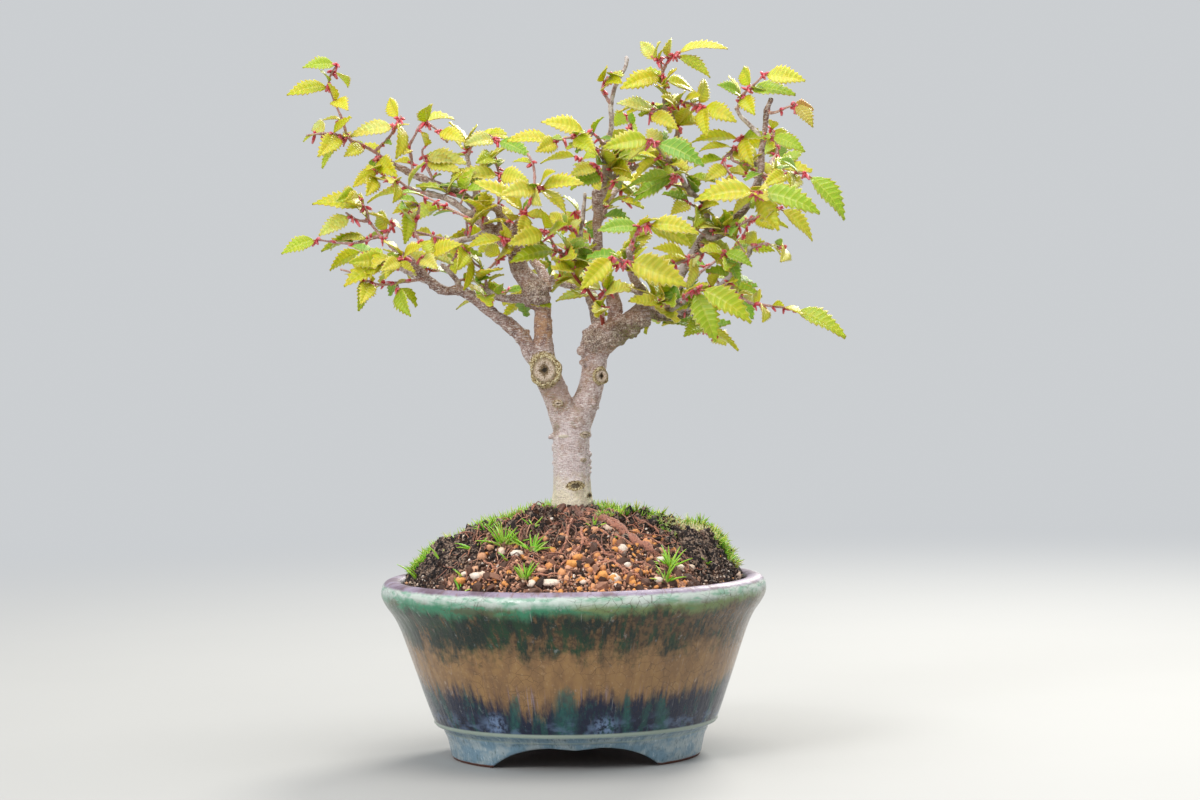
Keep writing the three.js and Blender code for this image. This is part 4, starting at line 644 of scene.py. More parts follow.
def add_studio():
    world = bpy.data.worlds.new("studio")
    bpy.context.scene.world = world
    world.use_nodes = True
    background = world.node_tree.nodes["Background"]
    background.inputs["Color"].default_value = BACKDROP
    background.inputs["Strength"].default_value = 1.0
    add_light("overhead", (0.1, -0.1, 1.1), (0, 0, 0.1), 0.8, 8, (1, 0.98, 0.95))
    add_light("key", (-0.7, -0.9, 0.8), (0, 0, 0.1), 0.5, 8)
    add_light("back", (0.35, 0.85, 0.65), (0, 0, 0.15), 0.4, 9, (1, 0.97, 0.9))
    bpy.context.scene.view_settings.view_transform = "Standard"
    finish = Finish("floor")
    x, y, _ = finish.split(finish.place)
    far = finish.step((x * x + y * y) ** 0.5, 180, 900)
    colour = finish.mix(finish.noise(finish.place, 0.01), (0.41, 0.41, 0.40, 1), (0.43, 0.43, 0.42, 1))
    near = finish.node("ShaderNodeBsdfPrincipled", {}, {"Base Color": colour, "Roughness": 0.7})
    glow = finish.node("ShaderNodeEmission", {}, {"Color": BACKDROP})
    finish.close(finish.node("ShaderNodeMixShader", {}, {0: far, 1: near, 2: glow}))
    heap = Heap()
    reach, sides = 12.0, 64
    heap.add([around(2 * math.pi * k / sides) * reach for k in range(sides)], [list(range(sides))])
    floor = heap.piece("floor", [finish.material])


add_camera()
add_studio()

# The pot

POT_OUTSIDE = (
    (35.6, 0), (36.0, 0.5), (36.5, 2.4), (37.1, 5.6), (37.9, 7.5), (37.8, 7.9), (38.2, 8.3), (39.0, 9.0),
    (40.3, 9.5), (40.8, 10.1), (40.6, 10.7), (41.0, 11.4), (43.2, 17.5), (46.3, 26.5), (49.7, 36.3),
    (51.7, 40.6), (53.9, 43.8), (55.0, 46), (55.2, 47.6), (54.9, 49.2), (54.0, 50.4), (52.6, 51.0),
    (51.0, 51.0), (49.9, 50.6), (49.2, 49.6), (48.5, 47),
)
POT_INSIDE = (
    (47.4, 40), (39.4, 18), (35, 12), (32, FLOOR_Z), (DRAIN_RADIUS, FLOOR_Z), (DRAIN_RADIUS, UNDERSIDE_Z),
    (FOOT_INNER_RADIUS + 0.6, UNDERSIDE_Z), (FOOT_INNER_RADIUS, 0),
)


def arch_table():
    """How high the arch stands over the table, by the distance from its middle."""
    half, high = ARCH_HALF_WIDTH, ARCH_HEIGHT
    rows = [(0, high * 0.9), (half * 0.3, high)]
    for k in range(1, 13):
        t = k / 12
        rows.append(((1 - t) ** 2 * half * 0.3 + 2 * t * (1 - t) * half * 0.75 + t * t * half,
                     (1 - t) ** 2 * high + 2 * t * (1 - t) * high * 0.95))
    return np.array(rows).T


ARCH_TABLE = arch_table()


def arch_height(point):
    best = 0.0
    for azimuth in ARCH_AZIMUTHS:
        heading = around(math.radians(azimuth))
        if point.dot(heading) > 10:
            offset = abs(point.x * heading.y - point.y * heading.x)
            if offset < ARCH_HALF_WIDTH:
                best = max(best, float(np.interp(offset, *ARCH_TABLE)))
    return best


def shape_pot(point):
    """Lifts the foot into its arches and leaves the wall slightly uneven, as thrown."""
    radius = math.hypot(point.x, point.y)
    if radius > FOOT_INNER_RADIUS - 1 and point.z < FOOT_BLEND_Z:
        top = FOOT_BLEND_Z if radius > FOOT_INNER_RADIUS + 1 else UNDERSIDE_Z
        point.z += arch_height(point) * max(0.0, 1 - point.z / top)
    if radius > FOOT_RADIUS and point.z > 2:
        swell = 1 + 0.0022 * wobble(point, 0.05) + 0.0012 * wobble(point, 0.17, 3)
        point.x, point.y = point.x * swell, point.y * swell
    return point


def glaze_finish():
    finish = Finish("glaze")
    mix, layered, between = finish.mix, finish.layered, finish.step
    x, y, z = finish.split(finish.place)
    radius = (x * x + y * y) ** 0.5
    ring = finish.joined(x / radius * 50, y / radius * 50, z)

    def streaks(around, down, detail=3.0, roughness=0.55):
        return finish.noise(finish.scaled(ring, (around, around, down)), 1.0, detail, roughness)

    fine = finish.noise(ring, 0.9, 5.0)
    drift = streaks(0.05, 0.03, 2.0)
    runs = streaks(0.22, 0.03)
    narrow = streaks(0.55, 0.045)
    dapple = streaks(0.9, 0.5, 4.0, 0.7)
    drips = streaks(0.7, 0.2, 4.0)
    blot = streaks(0.16, 0.22, 4.0, 0.6)

    # The tan belt, and the dark band over it
    low_tan = between(z, 26, 21)
    tan = layered(
        mix(between(streaks(0.3, 0.12, 5.0), 0.38, 0.62), (154, 119, 77), (136, 104, 70)),
        (between(narrow, 0.5, 0.6) * low_tan * 0.55, (104, 78, 66)),
        (between(streaks(1.1, 0.06), 0.58, 0.7) * low_tan * 0.6, (156, 140, 150)),
        (between(streaks(0.12, 0.2), 0.52, 0.7) * 0.4, (112, 84, 62)),
        (between(fine, 0.56, 0.68) * 0.35, (178, 148, 110)))
    brown = mix(between(fine, 0.4, 0.6), (66, 52, 36), (104, 80, 52))
    deep = mix(between(streaks(0.18, 0.1), 0.4, 0.6), (22, 40, 34), (28, 62, 38))
    greened = (streaks(0.11, 0.07) + blot) * 0.5 + (drips - 0.5) * 0.8 - x * 0.0025
    dark = layered(
        mix(between(greened, 0.4, 0.54), brown, deep), (between(dapple, 0.6, 0.72) * 0.4, (132, 102, 72)))
    dark_edge = z + (runs - 0.5) * 9 + (blot - 0.5) * 15 + (dapple - 0.5) * 11

    # The blue band, its runs that climb the belt, and the milky drifts
    low = layered(
        mix(between(streaks(0.2, 0.07) + (dapple - 0.5) * 0.5, 0.48, 0.64), (24, 32, 56), (28, 70, 70)),
        (between(dapple, 0.58, 0.72) * 0.35, (78, 96, 122)))
    low_edge = (z + (0.5 - narrow) * 10 + (0.5 - drift) * 15 + (dapple - 0.5) * 6
                - between(abs(x), 12, 42) * 3.2)
    colour = layered(tan, (between(dark_edge, 29.8, 37.6), dark), (between(low_edge, 21.8, 16.4), low))
    for middle, width, top in ((-2.4, 3.6, 25.5), (14.2, 1.3, 24.5), (-16.5, 1.5, 23.5), (24.0, 2.2, 22.0)):
        spread = abs(x - middle + (runs - 0.5) * 3 + (dapple - 0.5) * 1.6) / width
        crest = spread * spread * 3.4 + z + (dapple - 0.5) * 6
        run = between(spread, 1.25, 0.35) * between(crest, top, top - 3.5) * between(y, 0, -5) * 0.8
        colour = mix(run, colour, mix(between(dapple, 0.4, 0.6), (40, 96, 88), (30, 70, 74)))
    milk = between(streaks(0.16, 0.35), 0.45, 0.66) * between(z, 17, 12)
    colour = mix(milk * 0.55, colour, (104, 126, 158))
    for point, inner, outer in (((8.6, -41.5, 12.4), 1.2, 5.2), ((-22, -36, 13), 1, 5)):
        spot = finish.near(point, inner, outer) * between(fine, 0.38, 0.62) * 0.8
        colour = mix(spot, colour, (122, 146, 182))

    # The pale foot and its beads
    band = layered(
        mix(between(streaks(0.14, 0.3), 0.4, 0.62), (120, 150, 168), (160, 176, 182)),
        (between(dapple, 0.52, 0.7) * 0.7, (78, 104, 108)),
        (between(dapple, 0.44, 0.3) * 0.7, (196, 210, 214)))
    bead = between(abs(z - 10.2), 0.75, 0.25) + between(abs(z - 7.9), 0.4, 0.1) * 0.5

    # The green lip, its pale crest of glaze and painted highlight, the rim's top and the inside
    green = layered(
        mix(between(streaks(0.06, 0.2) + x * 0.005, 0.42, 0.6), (58, 132, 98), (118, 136, 86)),
        (between(streaks(0.1, 0.3) + (dapple - 0.5) * 0.4, 0.5, 0.64) * 0.7, (92, 80, 58)))
    lip_edge = z + (drift - 0.5) * 5 + (runs - 0.5) * 6 + (dapple - 0.5) * 4
    # The crest: the glaze's pale green, with a near-white painted highlight along the lip's bulge
    crest = mix(between(streaks(0.2, 0.6), 0.34, 0.54), (142, 182, 160), (206, 216, 208))
    top = layered(
        mix(between(streaks(0.16, 0.3), 0.4, 0.64), (158, 144, 166), (112, 92, 108)),
        (between(dapple, 0.54, 0.66) * 0.6, (130, 100, 92)))
    inside = between(radius - z * 0.347, 36.2, 35.2) * between(z, 9, 12) * between(z, 50.2, 49.6)
    scratch = between(streaks(1.7, 0.12), 0.66, 0.74) * between(drift, 0.42, 0.6) * 0.3
    bare = between(z + (fine - 0.5) * 0.5, 0.95, 0.6)
    under = between(radius, 35.0, 34.4) * between(z, 8.5, 8.0)
    colour = layered(
        colour, (between(z, 10.9, 9.8), band), (bead, (150, 164, 152)),
        (between(lip_edge, 43.6, 46.8), green),
        # the crest band under the rim, glaze green and painted highlight
        (between(z + (fine - 0.5) * 1.5 + (runs - 0.5) * 2.5, 46.2, 49.0) * 0.9, crest),
        (between(z + (fine - 0.5) * 0.6 + (runs - 0.5) * 0.8, 49.5, 50.3), top),
        (inside, (92, 72, 78)), (scratch * between(z, 12, 16), (205, 205, 205)),
        (finish.math("MAXIMUM", bare, under), mix(fine, (112, 58, 42), (84, 52, 40))))

    # The fine cracks, the haze and the gloss
    sway = finish.node("ShaderNodeVectorMath", {"operation": "ADD"}, {
        0: finish.scaled(ring, (0.34, 0.34, 0.42)), 1: finish.joined(fine * 0.25, runs * 0.6, dapple * 0.25)})
    crackle = between(finish.cells(sway), 0.004, 0.03)
    crazed = between(streaks(0.09, 0.12), 0.4, 0.55) * between(z, 14, 20)
    haze = between(streaks(0.25, 0.25, 5.0), 0.6, 0.72) * between(dapple, 0.5, 0.62) * 0.3
    colour = layered(colour, ((1 - crackle) * crazed * 0.6, (74, 54, 40)), (haze, (206, 210, 214)))
    rough = 0.13 + between(fine, 0.4, 0.8) * 0.16 + between(z, 48.5, 50.0) * 0.34 + (bare + under) * 0.5
    return finish.surface(colour, rough, ((crackle, 0.03), (runs, 0.35), (fine, 0.12)))


def make_pot():
    heap = Heap()
    outside = [(point.x, point.z) for point, _ in smooth_path([(r, 0, z, 1) for r, z in POT_OUTSIDE], 0.6)]
    lathe(heap, [*outside, *POT_INSIDE], 240, shape_pot)
    dress(heap, "glazed_pot", [glaze_finish()], "pot")


def mesh_finish():
    finish = Finish("drain_mesh")
    dust = finish.noise(finish.place, 0.8, 4.0)
    colour = finish.mix(finish.step(dust, 0.45, 0.7), (30, 30, 31), (84, 66, 52))
    return finish.surface(colour, 0.55, ((dust, 0.05),))


# Forms scattered over a surface


def new_tree(name, inputs, output):
    """A geometry tree with its inputs and its one output; gives the board and the group's inputs."""
    tree = bpy.data.node_groups.new(name, "GeometryNodeTree")
    for label, kind in inputs.items():
        tree.interface.new_socket(label, in_out="INPUT", socket_type="NodeSocket" + kind)
    tree.interface.new_socket(output, in_out="OUTPUT", socket_type="NodeSocketGeometry")
    board = Board(tree)
    return board, board.node("NodeGroupInput")


def form_copies(board, start, points, turn, size, tone, **more):
    """A form of the collection on each point, made plain mesh with its tone and its finish."""
    forms = board.node("GeometryNodeCollectionInfo", {}, {
        "Collection": start.output("Forms"), "Separate Children": True, "Reset Children": True})
    copies = board.node("GeometryNodeInstanceOnPoints", {}, {
        "Points": points, "Instance": forms, "Pick Instance": True, "Rotation": turn, "Scale": size,
        **{label.replace("_", " "): value for label, value in more.items()}})
    toned = board.node("GeometryNodeStoreNamedAttribute", {"data_type": "FLOAT", "domain": "INSTANCE"}, {
        "Geometry": copies, "Name": "tone", "Value": tone})
    solid = board.node("GeometryNodeRealizeInstances", {}, {"Geometry": toned})
    painted = board.node("GeometryNodeSetMaterial", {}, {
        "Geometry": solid, "Material": start.output("Finish")})
    end = board.tree.nodes.new("NodeGroupOutput")
    board.tree.links.new(painted.socket, end.inputs[0])
    return board.tree


def scatter_tree():
    """Puts copies of the forms on a surface, thick where its own value called where is high."""
    sizes = ("Spacing", "Density", "Smallest", "Largest", "Lean", "Lowest tone", "Highest tone")
    board, start = new_tree("scatter", {
        "Surface": "Geometry", "Forms": "Collection", "Finish": "Material", **dict.fromkeys(sizes, "Float"),
        "Seed": "Int"}, "Pieces")
    seed, lean = start.output("Seed"), start.output("Lean")
    where = board.node("GeometryNodeInputNamedAttribute", {"data_type": "FLOAT"}, {"Name": "where"})
    points = board.node("GeometryNodeDistributePointsOnFaces", {"distribute_method": "POISSON"}, {
        "Mesh": start, "Distance Min": start.output("Spacing"), "Density Max": start.output("Density"),
        "Density Factor": where, "Seed": seed})
    low = board.node("ShaderNodeCombineXYZ", {}, {0: lean * -1, 1: lean * -1, 2: -math.pi})
    high = board.node("ShaderNodeCombineXYZ", {}, {0: lean, 1: lean, 2: math.pi})
    turn = board.node("FunctionNodeRandomValue", {"data_type": "FLOAT_VECTOR"}, {
        "Min": low, "Max": high, "Seed": seed})
    turn = board.node("FunctionNodeEulerToRotation", {}, {0: turn})
    turn = board.node("FunctionNodeRotateRotation", {"rotation_space": "LOCAL"}, {
        0: points.output("Rotation"), 1: turn})

    def random_number(least, most, shift):
        return board.node("FunctionNodeRandomValue", {"data_type": "FLOAT"}, {
            2: start.output(least), 3: start.output(most), "Seed": seed + shift}, output=1)

    return form_copies(board, start, points, turn, random_number("Smallest", "Largest", 7),
                       random_number("Lowest tone", "Highest tone", 19))


def form_group(name, meshes):
    group = bpy.data.collections.new(name)
    for i, mesh in enumerate(meshes):
        group.objects.link(bpy.data.objects.new(f"{name}_{i:02d}", mesh))
    return group


def form_mesh(name, points, faces, pale=None, corners=None, smooth=True):
    mesh = bpy.data.meshes.new(name)
    mesh.from_pydata([tuple(p) for p in points], [], faces)
    mesh.polygons.foreach_set("use_smooth", [smooth] * len(faces))
    mesh.attributes.new("pale", "FLOAT", "POINT").data.foreach_set("value", pale or [0.0] * len(points))
    layer = mesh.uv_layers.new(name="blade")
    if corners:
        layer.data.foreach_set("uv", np.array(corners, dtype=np.float32).ravel())
    return mesh


def grown(tree, surface, name, **values):
    """Runs a tree on a copy of a surface, with its inputs by name, and gives the mesh."""
    carrier = bpy.data.objects.new(name + "_carrier", surface)
    bpy.context.scene.collection.objects.link(carrier)
    modifier = carrier.modifiers.new("scatter", "NODES")
    modifier.node_group = tree
    for label, value in values.items():
        set_input(modifier, label.replace("_", " "), value)
    return settle(carrier, name)


def scattered(tree, surface, name, forms, finish, spacing, density, size, tone, seed, lean=3.0):
    """Forms scattered on a surface, their size and tone each between two limits."""
    return grown(
        tree, surface, name, Forms=forms, Finish=finish, Spacing=spacing * MM, Density=density, Lean=lean,
        Smallest=size[0], Largest=size[1], Lowest_tone=tone[0], Highest_tone=tone[1], Seed=seed)


def drop_forms(group):
    for thing in list(group.objects):
        bpy.data.objects.remove(thing, do_unlink=True)
    bpy.data.collections.remove(group)


# The soil

SOIL_RINGS = 56
SOIL_SIDES = 128


def soil_height(x, y):
    share = min(1.0, math.hypot(x, y) / (SOIL_EDGE + 0.4))
    return SOIL_RIM_Z + (SOIL_TOP_Z - SOIL_RIM_Z) * (1 - share ** SOIL_CURVE)


# Lumps of dark soil on the mound: middle, reach and rise
SOIL_LUMPS = (
    ((42, 3), 9, 5.5), ((38, -14), 7, 3.6), ((29, -3), 8, 2.2), ((43, -9), 6, 3.5), ((-25, -21), 9, 2.6),
    ((-33, -12), 8, 2.4), ((-38, -16), 6, 2.0), ((-13, -15), 7, 1.9), ((-8, -17), 6, 1.6),
    ((-16, -39), 4, 1.8), ((-6, -21), 6, 1.6), ((9, -9), 7, 1.0), ((18, -10), 7, 1.2), ((36, 14), 9, 3.5),
    *((place, 2.6, 2.4) for place in (
        (-10, -15), (-15, -19), (-20, -16), (-26, -20), (-31, -17), (-6, -20), (-35, -21), (-22, -25),
        (-12, -25), (-29, -26), (33, -15), (38, -11), (30, -10), (25, -8), (36, -20), (42, -6), (-15, -37),
        (-20, -39), (-11, -34), (20, -8), (-38, -13), (40, -17))),
)


def soil_surface(x, y):
    """The mound with its lumps and hollows."""
    point = (x, y, 0)
    distance = math.hypot(x, y)
    share = min(1.0, distance / SOIL_EDGE)
    rise = 1.1 * wobble(point, 0.09, 2) + 1.3 * wobble(point, 0.21, 5) + 1.1 * wobble(point, 0.5, 9)
    for (lump_x, lump_y), reach, height in SOIL_LUMPS:
        nearness = max(0.0, 1 - ((x - lump_x) ** 2 + (y - lump_y) ** 2) / (reach * reach * 1.6))
        rise += height * nearness * nearness
    front = max(0.0, -y - 26) / 20 * max(0.0, 1 - abs(x - 4) / 34)
    rise -= 2.4 * front
    return soil_height(x, y) + rise * (1 - share ** 12) * min(1.0, distance / 12)


def soil_finish():
    finish = Finish("soil")
    patches = finish.noise(finish.place, 0.12, 4.0)
    crumb = finish.noise(finish.place, 1.1, 6.0, 0.65)
    colour = finish.ramp(crumb, (0.3, (26, 20, 17)), (0.52, (64, 44, 34)), (0.75, (110, 74, 56)))
    colour = finish.mix(finish.step(patches, 0.5, 0.6), colour, (30, 25, 24))
    return finish.surface(colour, 0.92, ((crumb, 0.6),), Specular_IOR_Level=0.3)


def grain_finish():
    finish = Finish("grains")
    tone = finish.attribute("tone")
    y = finish.split(finish.place)[1]
    speck = finish.noise(finish.place, 1.3, 5.0, 0.6)
    drift = finish.noise(finish.place, 0.1, 3.0)
    lump = finish.noise(finish.place, 0.3, 3.0)
    humus = finish.mix(finish.step(speck + (0.5 - lump) * 0.6, 0.5, 0.62), (25, 22, 24), (168, 144, 126))
    back = finish.step(y + (drift - 0.5) * 34, -33, -24) * finish.step(tone, 0.62, 0.5)
    colour = finish.layered(
        finish.ramp(tone, (0.0, (38, 32, 32)), (0.2, (112, 80, 66)), (0.36, (194, 140, 112)),
                    (0.54, (240, 190, 158)), (0.66, (230, 156, 94)), (0.8, (244, 170, 92)),
                    (0.86, (242, 212, 186)), (1.0, (255, 244, 230))),
        (back * 0.92, humus), (finish.step(speck, 0.5, 0.68) * 0.28, (88, 62, 48)))
    return finish.surface(colour, 0.8, ((speck, 0.3),), Specular_IOR_Level=0.4)


def crumb_forms(count, seed):
    """Rough crumbs one millimetre in radius, each a dented block of twenty flat faces."""
    draw = random.Random(seed)
    long = (1 + 5 ** 0.5) / 2
    corners = [Vector(corner).normalized() for corner in (
        (-1, long, 0), (1, long, 0), (-1, -long, 0), (1, -long, 0), (0, -1, long), (0, 1, long),
        (0, -1, -long), (0, 1, -long), (long, 0, -1), (long, 0, 1), (-long, 0, -1), (-long, 0, 1))]
    faces = ((0, 11, 5), (0, 5, 1), (0, 1, 7), (0, 7, 10), (0, 10, 11), (1, 5, 9), (5, 11, 4), (11, 10, 2),
             (10, 7, 6), (7, 1, 8), (3, 9, 4), (3, 4, 2), (3, 2, 6), (3, 6, 8), (3, 8, 9), (4, 9, 5),
             (2, 4, 11), (6, 2, 10), (8, 6, 7), (9, 8, 1))
    meshes = []
    for _ in range(count):
        wide, deep, high = draw.uniform(0.8, 1.5), draw.uniform(0.6, 1.0), draw.uniform(0.5, 0.9)
        points = [stretched(corner, (wide, deep, high)) * draw.uniform(0.7, 1.25) * MM for corner in corners]
        meshes.append(form_mesh("crumb", points, faces, smooth=False))
    return meshes


def stone_forms(count, seed, flat=0.75):
    """Angular crumbs one millimetre in radius, each a cut-up ball."""
    draw = random.Random(seed)
    meshes = []
    for _ in range(count):
        points, faces = [], []
        rings, sides = 5, 8
        stretch = (draw.uniform(0.8, 1.2), draw.uniform(0.75, 1.05), draw.uniform(flat - 0.15, flat + 0.15))
        shift = draw.uniform(0, 50)
        for i in range(rings + 1):
            tilt = math.pi * i / rings
            for k in range(sides if 0 < i < rings else 1):
                angle = 2 * math.pi * (k + 0.5 * (i % 2)) / sides
                way = around(angle, math.sin(tilt), math.cos(tilt))
                bulge = 1 + 0.45 * wobble(way, 1.5, shift) + 0.3 * wobble(way, 3.4, shift)
                points.append(stretched(way, stretch) * bulge * MM)
        def at(i, k):
            if i == 0:
                return 0
            if i == rings:
                return len(points) - 1
            return 1 + (i - 1) * sides + k % sides
        for i in range(rings):
            for k in range(sides):
                corners = [at(i, k), at(i + 1, k), at(i + 1, k + 1), at(i, k + 1)]
                corners = list(dict.fromkeys(corners))
                if len(corners) > 2:
                    faces.append(corners)
        meshes.append(form_mesh("stone", points, faces))
    return meshes


def grid_surface(name, place, where, rings, sides):
    """An open sheet of rings, placed by share of the reach and angle, with its where value."""
    points = [place(i / rings, 2 * math.pi * k / sides) for i in range(rings + 1) for k in range(sides)]
    faces = []
    for i in range(rings):
        for k in range(sides):
            a, b = i * sides + k, i * sides + (k + 1) % sides
            faces.append([a, a + sides, b + sides, b])
    mesh = bpy.data.meshes.new(name)
    mesh.from_pydata([tuple(p * MM) for p in points], [], faces)
    mesh.attributes.new("where", "FLOAT", "POINT").data.foreach_set("value", [where(p) for p in points])
    return mesh


def mound_point(share, angle):
    x, y = math.cos(angle) * share * SOIL_EDGE, math.sin(angle) * share * SOIL_EDGE
    return Vector((x, y, soil_surface(x, y)))


def patch(point, x, y, inner, outer):
    """1 within a distance of x, y on the mound, falling to 0."""
    distance = math.hypot(point.x - x, point.y - y)
    return min(1.0, max(0.0, (outer - distance) / (outer - inner)))


# Stones that stand out: where on the mound, radius, stretch and tone
PLACED_STONES = (
    (-15, -32, 2.0, 1.05, 0.98), (-26.5, -34.5, 2.0, 1.25, 0.95), (-5.6, -44, 1.8, 1.6, 0.92),
    (15, -36, 1.3, 1, 0.97), (29.5, -30, 1.4, 1.1, 0.9), (23.5, -39, 1.4, 1.3, 0.92),
    (-30, -31, 1.2, 1, 0.94), (0.3, -38, 2.2, 1.2, 0.78), (1.5, -36, 1.6, 1, 0.72),
    (8.3, -42, 1.9, 1, 0.76), (11.5, -41.5, 1.6, 1, 0.78), (15.6, -41, 1.9, 1.1, 0.72),
    (-31, -34, 1.6, 1.2, 0.76), (20, -37.5, 1.2, 1, 0.7), (5, -40.5, 1.3, 1, 0.64),
    (-10, -42.5, 1.2, 1.1, 0.74), (3, -44, 1.0, 1, 0.93), (12, -44, 0.9, 1, 0.95), (33, -27, 1.2, 1, 0.88),
    (-21, -40, 1.1, 1, 0.7),
)


def make_soil(tree):
    heap = Heap()
    rings = [mound_point(i / SOIL_RINGS, 2 * math.pi * k / SOIL_SIDES)
             for i in range(1, SOIL_RINGS + 1) for k in range(SOIL_SIDES)]
    for radius, z in ((47.0, 40), (39.0, 18), (34.6, 12.3), (31.7, 10.9)):
        rings += [around(2 * math.pi * k / SOIL_SIDES, radius, z) for k in range(SOIL_SIDES)]
    count = len(rings) // SOIL_SIDES
    faces = [[i * SOIL_SIDES + k, (i + 1) * SOIL_SIDES + k,
              (i + 1) * SOIL_SIDES + (k + 1) % SOIL_SIDES, i * SOIL_SIDES + (k + 1) % SOIL_SIDES]
             for i in range(count - 1) for k in range(SOIL_SIDES)]
    faces.append(list(range(SOIL_SIDES)))
    faces.append([len(rings) - 1 - k for k in range(SOIL_SIDES)])
    heap.add([p * MM for p in rings], faces)
    dress(heap, "soil_mound", [soil_finish()], "soil")

    paint = grain_finish()
    stone_meshes = stone_forms(6, 11, 0.8)
    crumbs, stones = form_group("crumb", crumb_forms(8, 3)), form_group("stone", stone_meshes)
    grains = Heap()

    def everywhere(point):
        return 1.0 if math.hypot(point.x, point.y) > 6.5 else 0.0

    def bare(point):
        return everywhere(point) * (1.0 if point.y < 2 else 0.3)

    def bright(point):
        spot = max(patch(point, 12, -34, 14, 22), patch(point, -20, -36, 4, 12) * 0.6,
                   patch(point, 24, 25, 6, 14) * 0.5)
        return spot if point.z < 66 else 0.0

    def litter(point):
        return 1.0 if point.y < -20 and abs(point.x - 2) < 36 and wobble(point, 0.12, 31) > -0.15 else 0.0

    def sandy(point):
        return bare(point) * (0.35 + 0.65 * (point.z < 60))

    def pumiced(point):
        return everywhere(point) * (0.25 + 0.75 * bright(point))

    # Each kind: its forms, where it lies, spacing, density, size, tone and seed
    kinds = (
        ("litter", crumbs, litter, 0.9, 1.2e6, (0.3, 0.8), (0.25, 0.6), 45),
        ("dark", crumbs, bare, 0.8, 1.5e6, (0.35, 0.85), (0.0, 0.4), 5),
        ("clods", crumbs, bare, 2.6, 9e4, (1.0, 2.2), (0.0, 0.3), 8),
        ("sand", crumbs, sandy, 1.4, 3.2e5, (0.25, 0.6), (0.8, 1.0), 52),
        ("chips", crumbs, bright, 1.5, 3e5, (0.4, 1.0), (0.45, 0.8), 27),
        ("baked", stones, bright, 2.8, 1.2e5, (0.7, 1.5), (0.55, 0.8), 21),
        ("pumice", stones, pumiced, 7.5, 2e4, (0.9, 1.9), (0.86, 1.0), 34),
    )
    for name, forms, where, spacing, density, size, tone, seed in kinds:
        sheet = grid_surface(name, mound_point, where, 40, 96)
        grains.take(scattered(tree, sheet, name, forms, paint, spacing, density, size, tone, seed), 0)
    for i, (x, y, radius, stretch, tone) in enumerate(PLACED_STONES):
        form = stone_meshes[i % len(stone_meshes)]
        turn = Matrix.Rotation(i * 1.7, 3, "Z")
        middle = Vector((x, y, soil_surface(x, y) + radius * 0.35))
        points = [turn @ stretched(vertex.co, (stretch, 1, 0.85)) * radius + middle * MM
                  for vertex in form.vertices]
        grains.add(points, [list(p.vertices) for p in form.polygons], 0, tone)
    dress(grains, "soil_grains", [paint])
    drop_forms(crumbs)
    drop_forms(stones)


# Bare roots on the mound: x, y and radius along each
SURFACE_ROOTS = (
    ((2.6, -24, 0.5), (2.6, -31.9, 0.45), (-1.5, -36, 0.35), (-7.2, -38.3, 0.3), (-11.4, -36.2, 0.25)),
    ((3, -28, 0.45), (6.8, -35.4, 0.4), (12.4, -37, 0.35), (16.6, -41.8, 0.28)),
    ((-8.6, -39.6, 0.25), (-0.2, -37.5, 0.35), (9.6, -37.3, 0.32), (20, -35.8, 0.25)),
    ((20, -39.2, 0.25), (13.1, -37.8, 0.35), (8.2, -33, 0.4), (2.6, -26.9, 0.5)),
    ((-0.2, -18, 0.6), (-1.5, -28, 0.4), (-4.3, -34.7, 0.35), (-10.6, -42.7, 0.25)),
    ((6, -24.3, 0.5), (13, -26, 0.45), (20, -25, 0.4), (29, -19.6, 0.3), (33, -24.4, 0.25)),
    ((-24.6, -30, 0.25), (-18, -36.8, 0.3), (-9.9, -40.8, 0.3), (-4.3, -40.8, 0.25)),
    ((9, -17, 0.8), (12, -20.5, 1.15), (17, -24.5, 1.3), (21, -27, 1.1), (23, -28.5, 0.5)),
    ((6, -13, 0.8), (9.5, -16, 1.3), (13, -20, 1.35), (15, -23, 0.8)),
    ((4, -6, 0.8), (12, -9, 0.65), (20, -13, 0.5), (26, -17, 0.35)),
    ((-3, -22, 0.3), (-9, -27, 0.35), (-16, -29, 0.3), (-22, -33, 0.2)),
    ((10, -30, 0.3), (15, -33, 0.35), (21, -33, 0.3), (27, -36, 0.2)),
)


def root_finish():
    finish = Finish("bare_root")
    strands = finish.noise(finish.scaled(finish.place, (1.6, 1.6, 0.5)), 1.0, 5.0, 0.65)
    fine = finish.noise(finish.place, 1.9, 4.0, 0.6)
    colour = finish.layered(
        finish.ramp(finish.attribute("tone"), (0.0, (88, 64, 58)), (0.4, (152, 108, 94)),
                    (0.7, (206, 138, 112)), (1.0, (240, 188, 154))),
        (finish.step(strands, 0.5, 0.66) * 0.6, (176, 134, 120)),
        (finish.step(fine, 0.5, 0.64) * 0.65, (52, 38, 35)))
    return finish.surface(colour, 0.8, ((strands, 0.35), (fine, 0.2)))


def add_collar_roots(heap, draw):
    """The many thin roots that run from the foot of the trunk into the soil."""
    steps = 9
    for i in range(64):
        angle = math.radians(-90 + draw.uniform(-40, 85))
        reach = draw.uniform(8, 21 if abs(angle + math.pi / 2) < 0.8 else 13)
        thick, top, bend = draw.uniform(0.4, 0.85), draw.uniform(70.8, 72.8), draw.uniform(-0.3, 0.3)
        path = []
        for k in range(steps + 1):
            share = k / steps
            distance = 4.3 + (reach - 4.3) * share
            turn = angle + bend * share + 0.09 * wobble((distance, i, 0), 0.5, 3)
            x, y = math.cos(turn) * distance, math.sin(turn) * distance
            ground = soil_surface(x, y) + 0.25 + 0.3 * wobble((x, y, i), 0.6, 8)
            z = max(ground, top + (ground - top) * min(1.0, share * 2.6) ** 0.8)
            path.append((Vector((x, y, z)), thick * (1 - 0.65 * share) * draw.uniform(0.75, 1.15)))
        tube(heap, path, 6, 0, draw.uniform(0.05, 0.8))


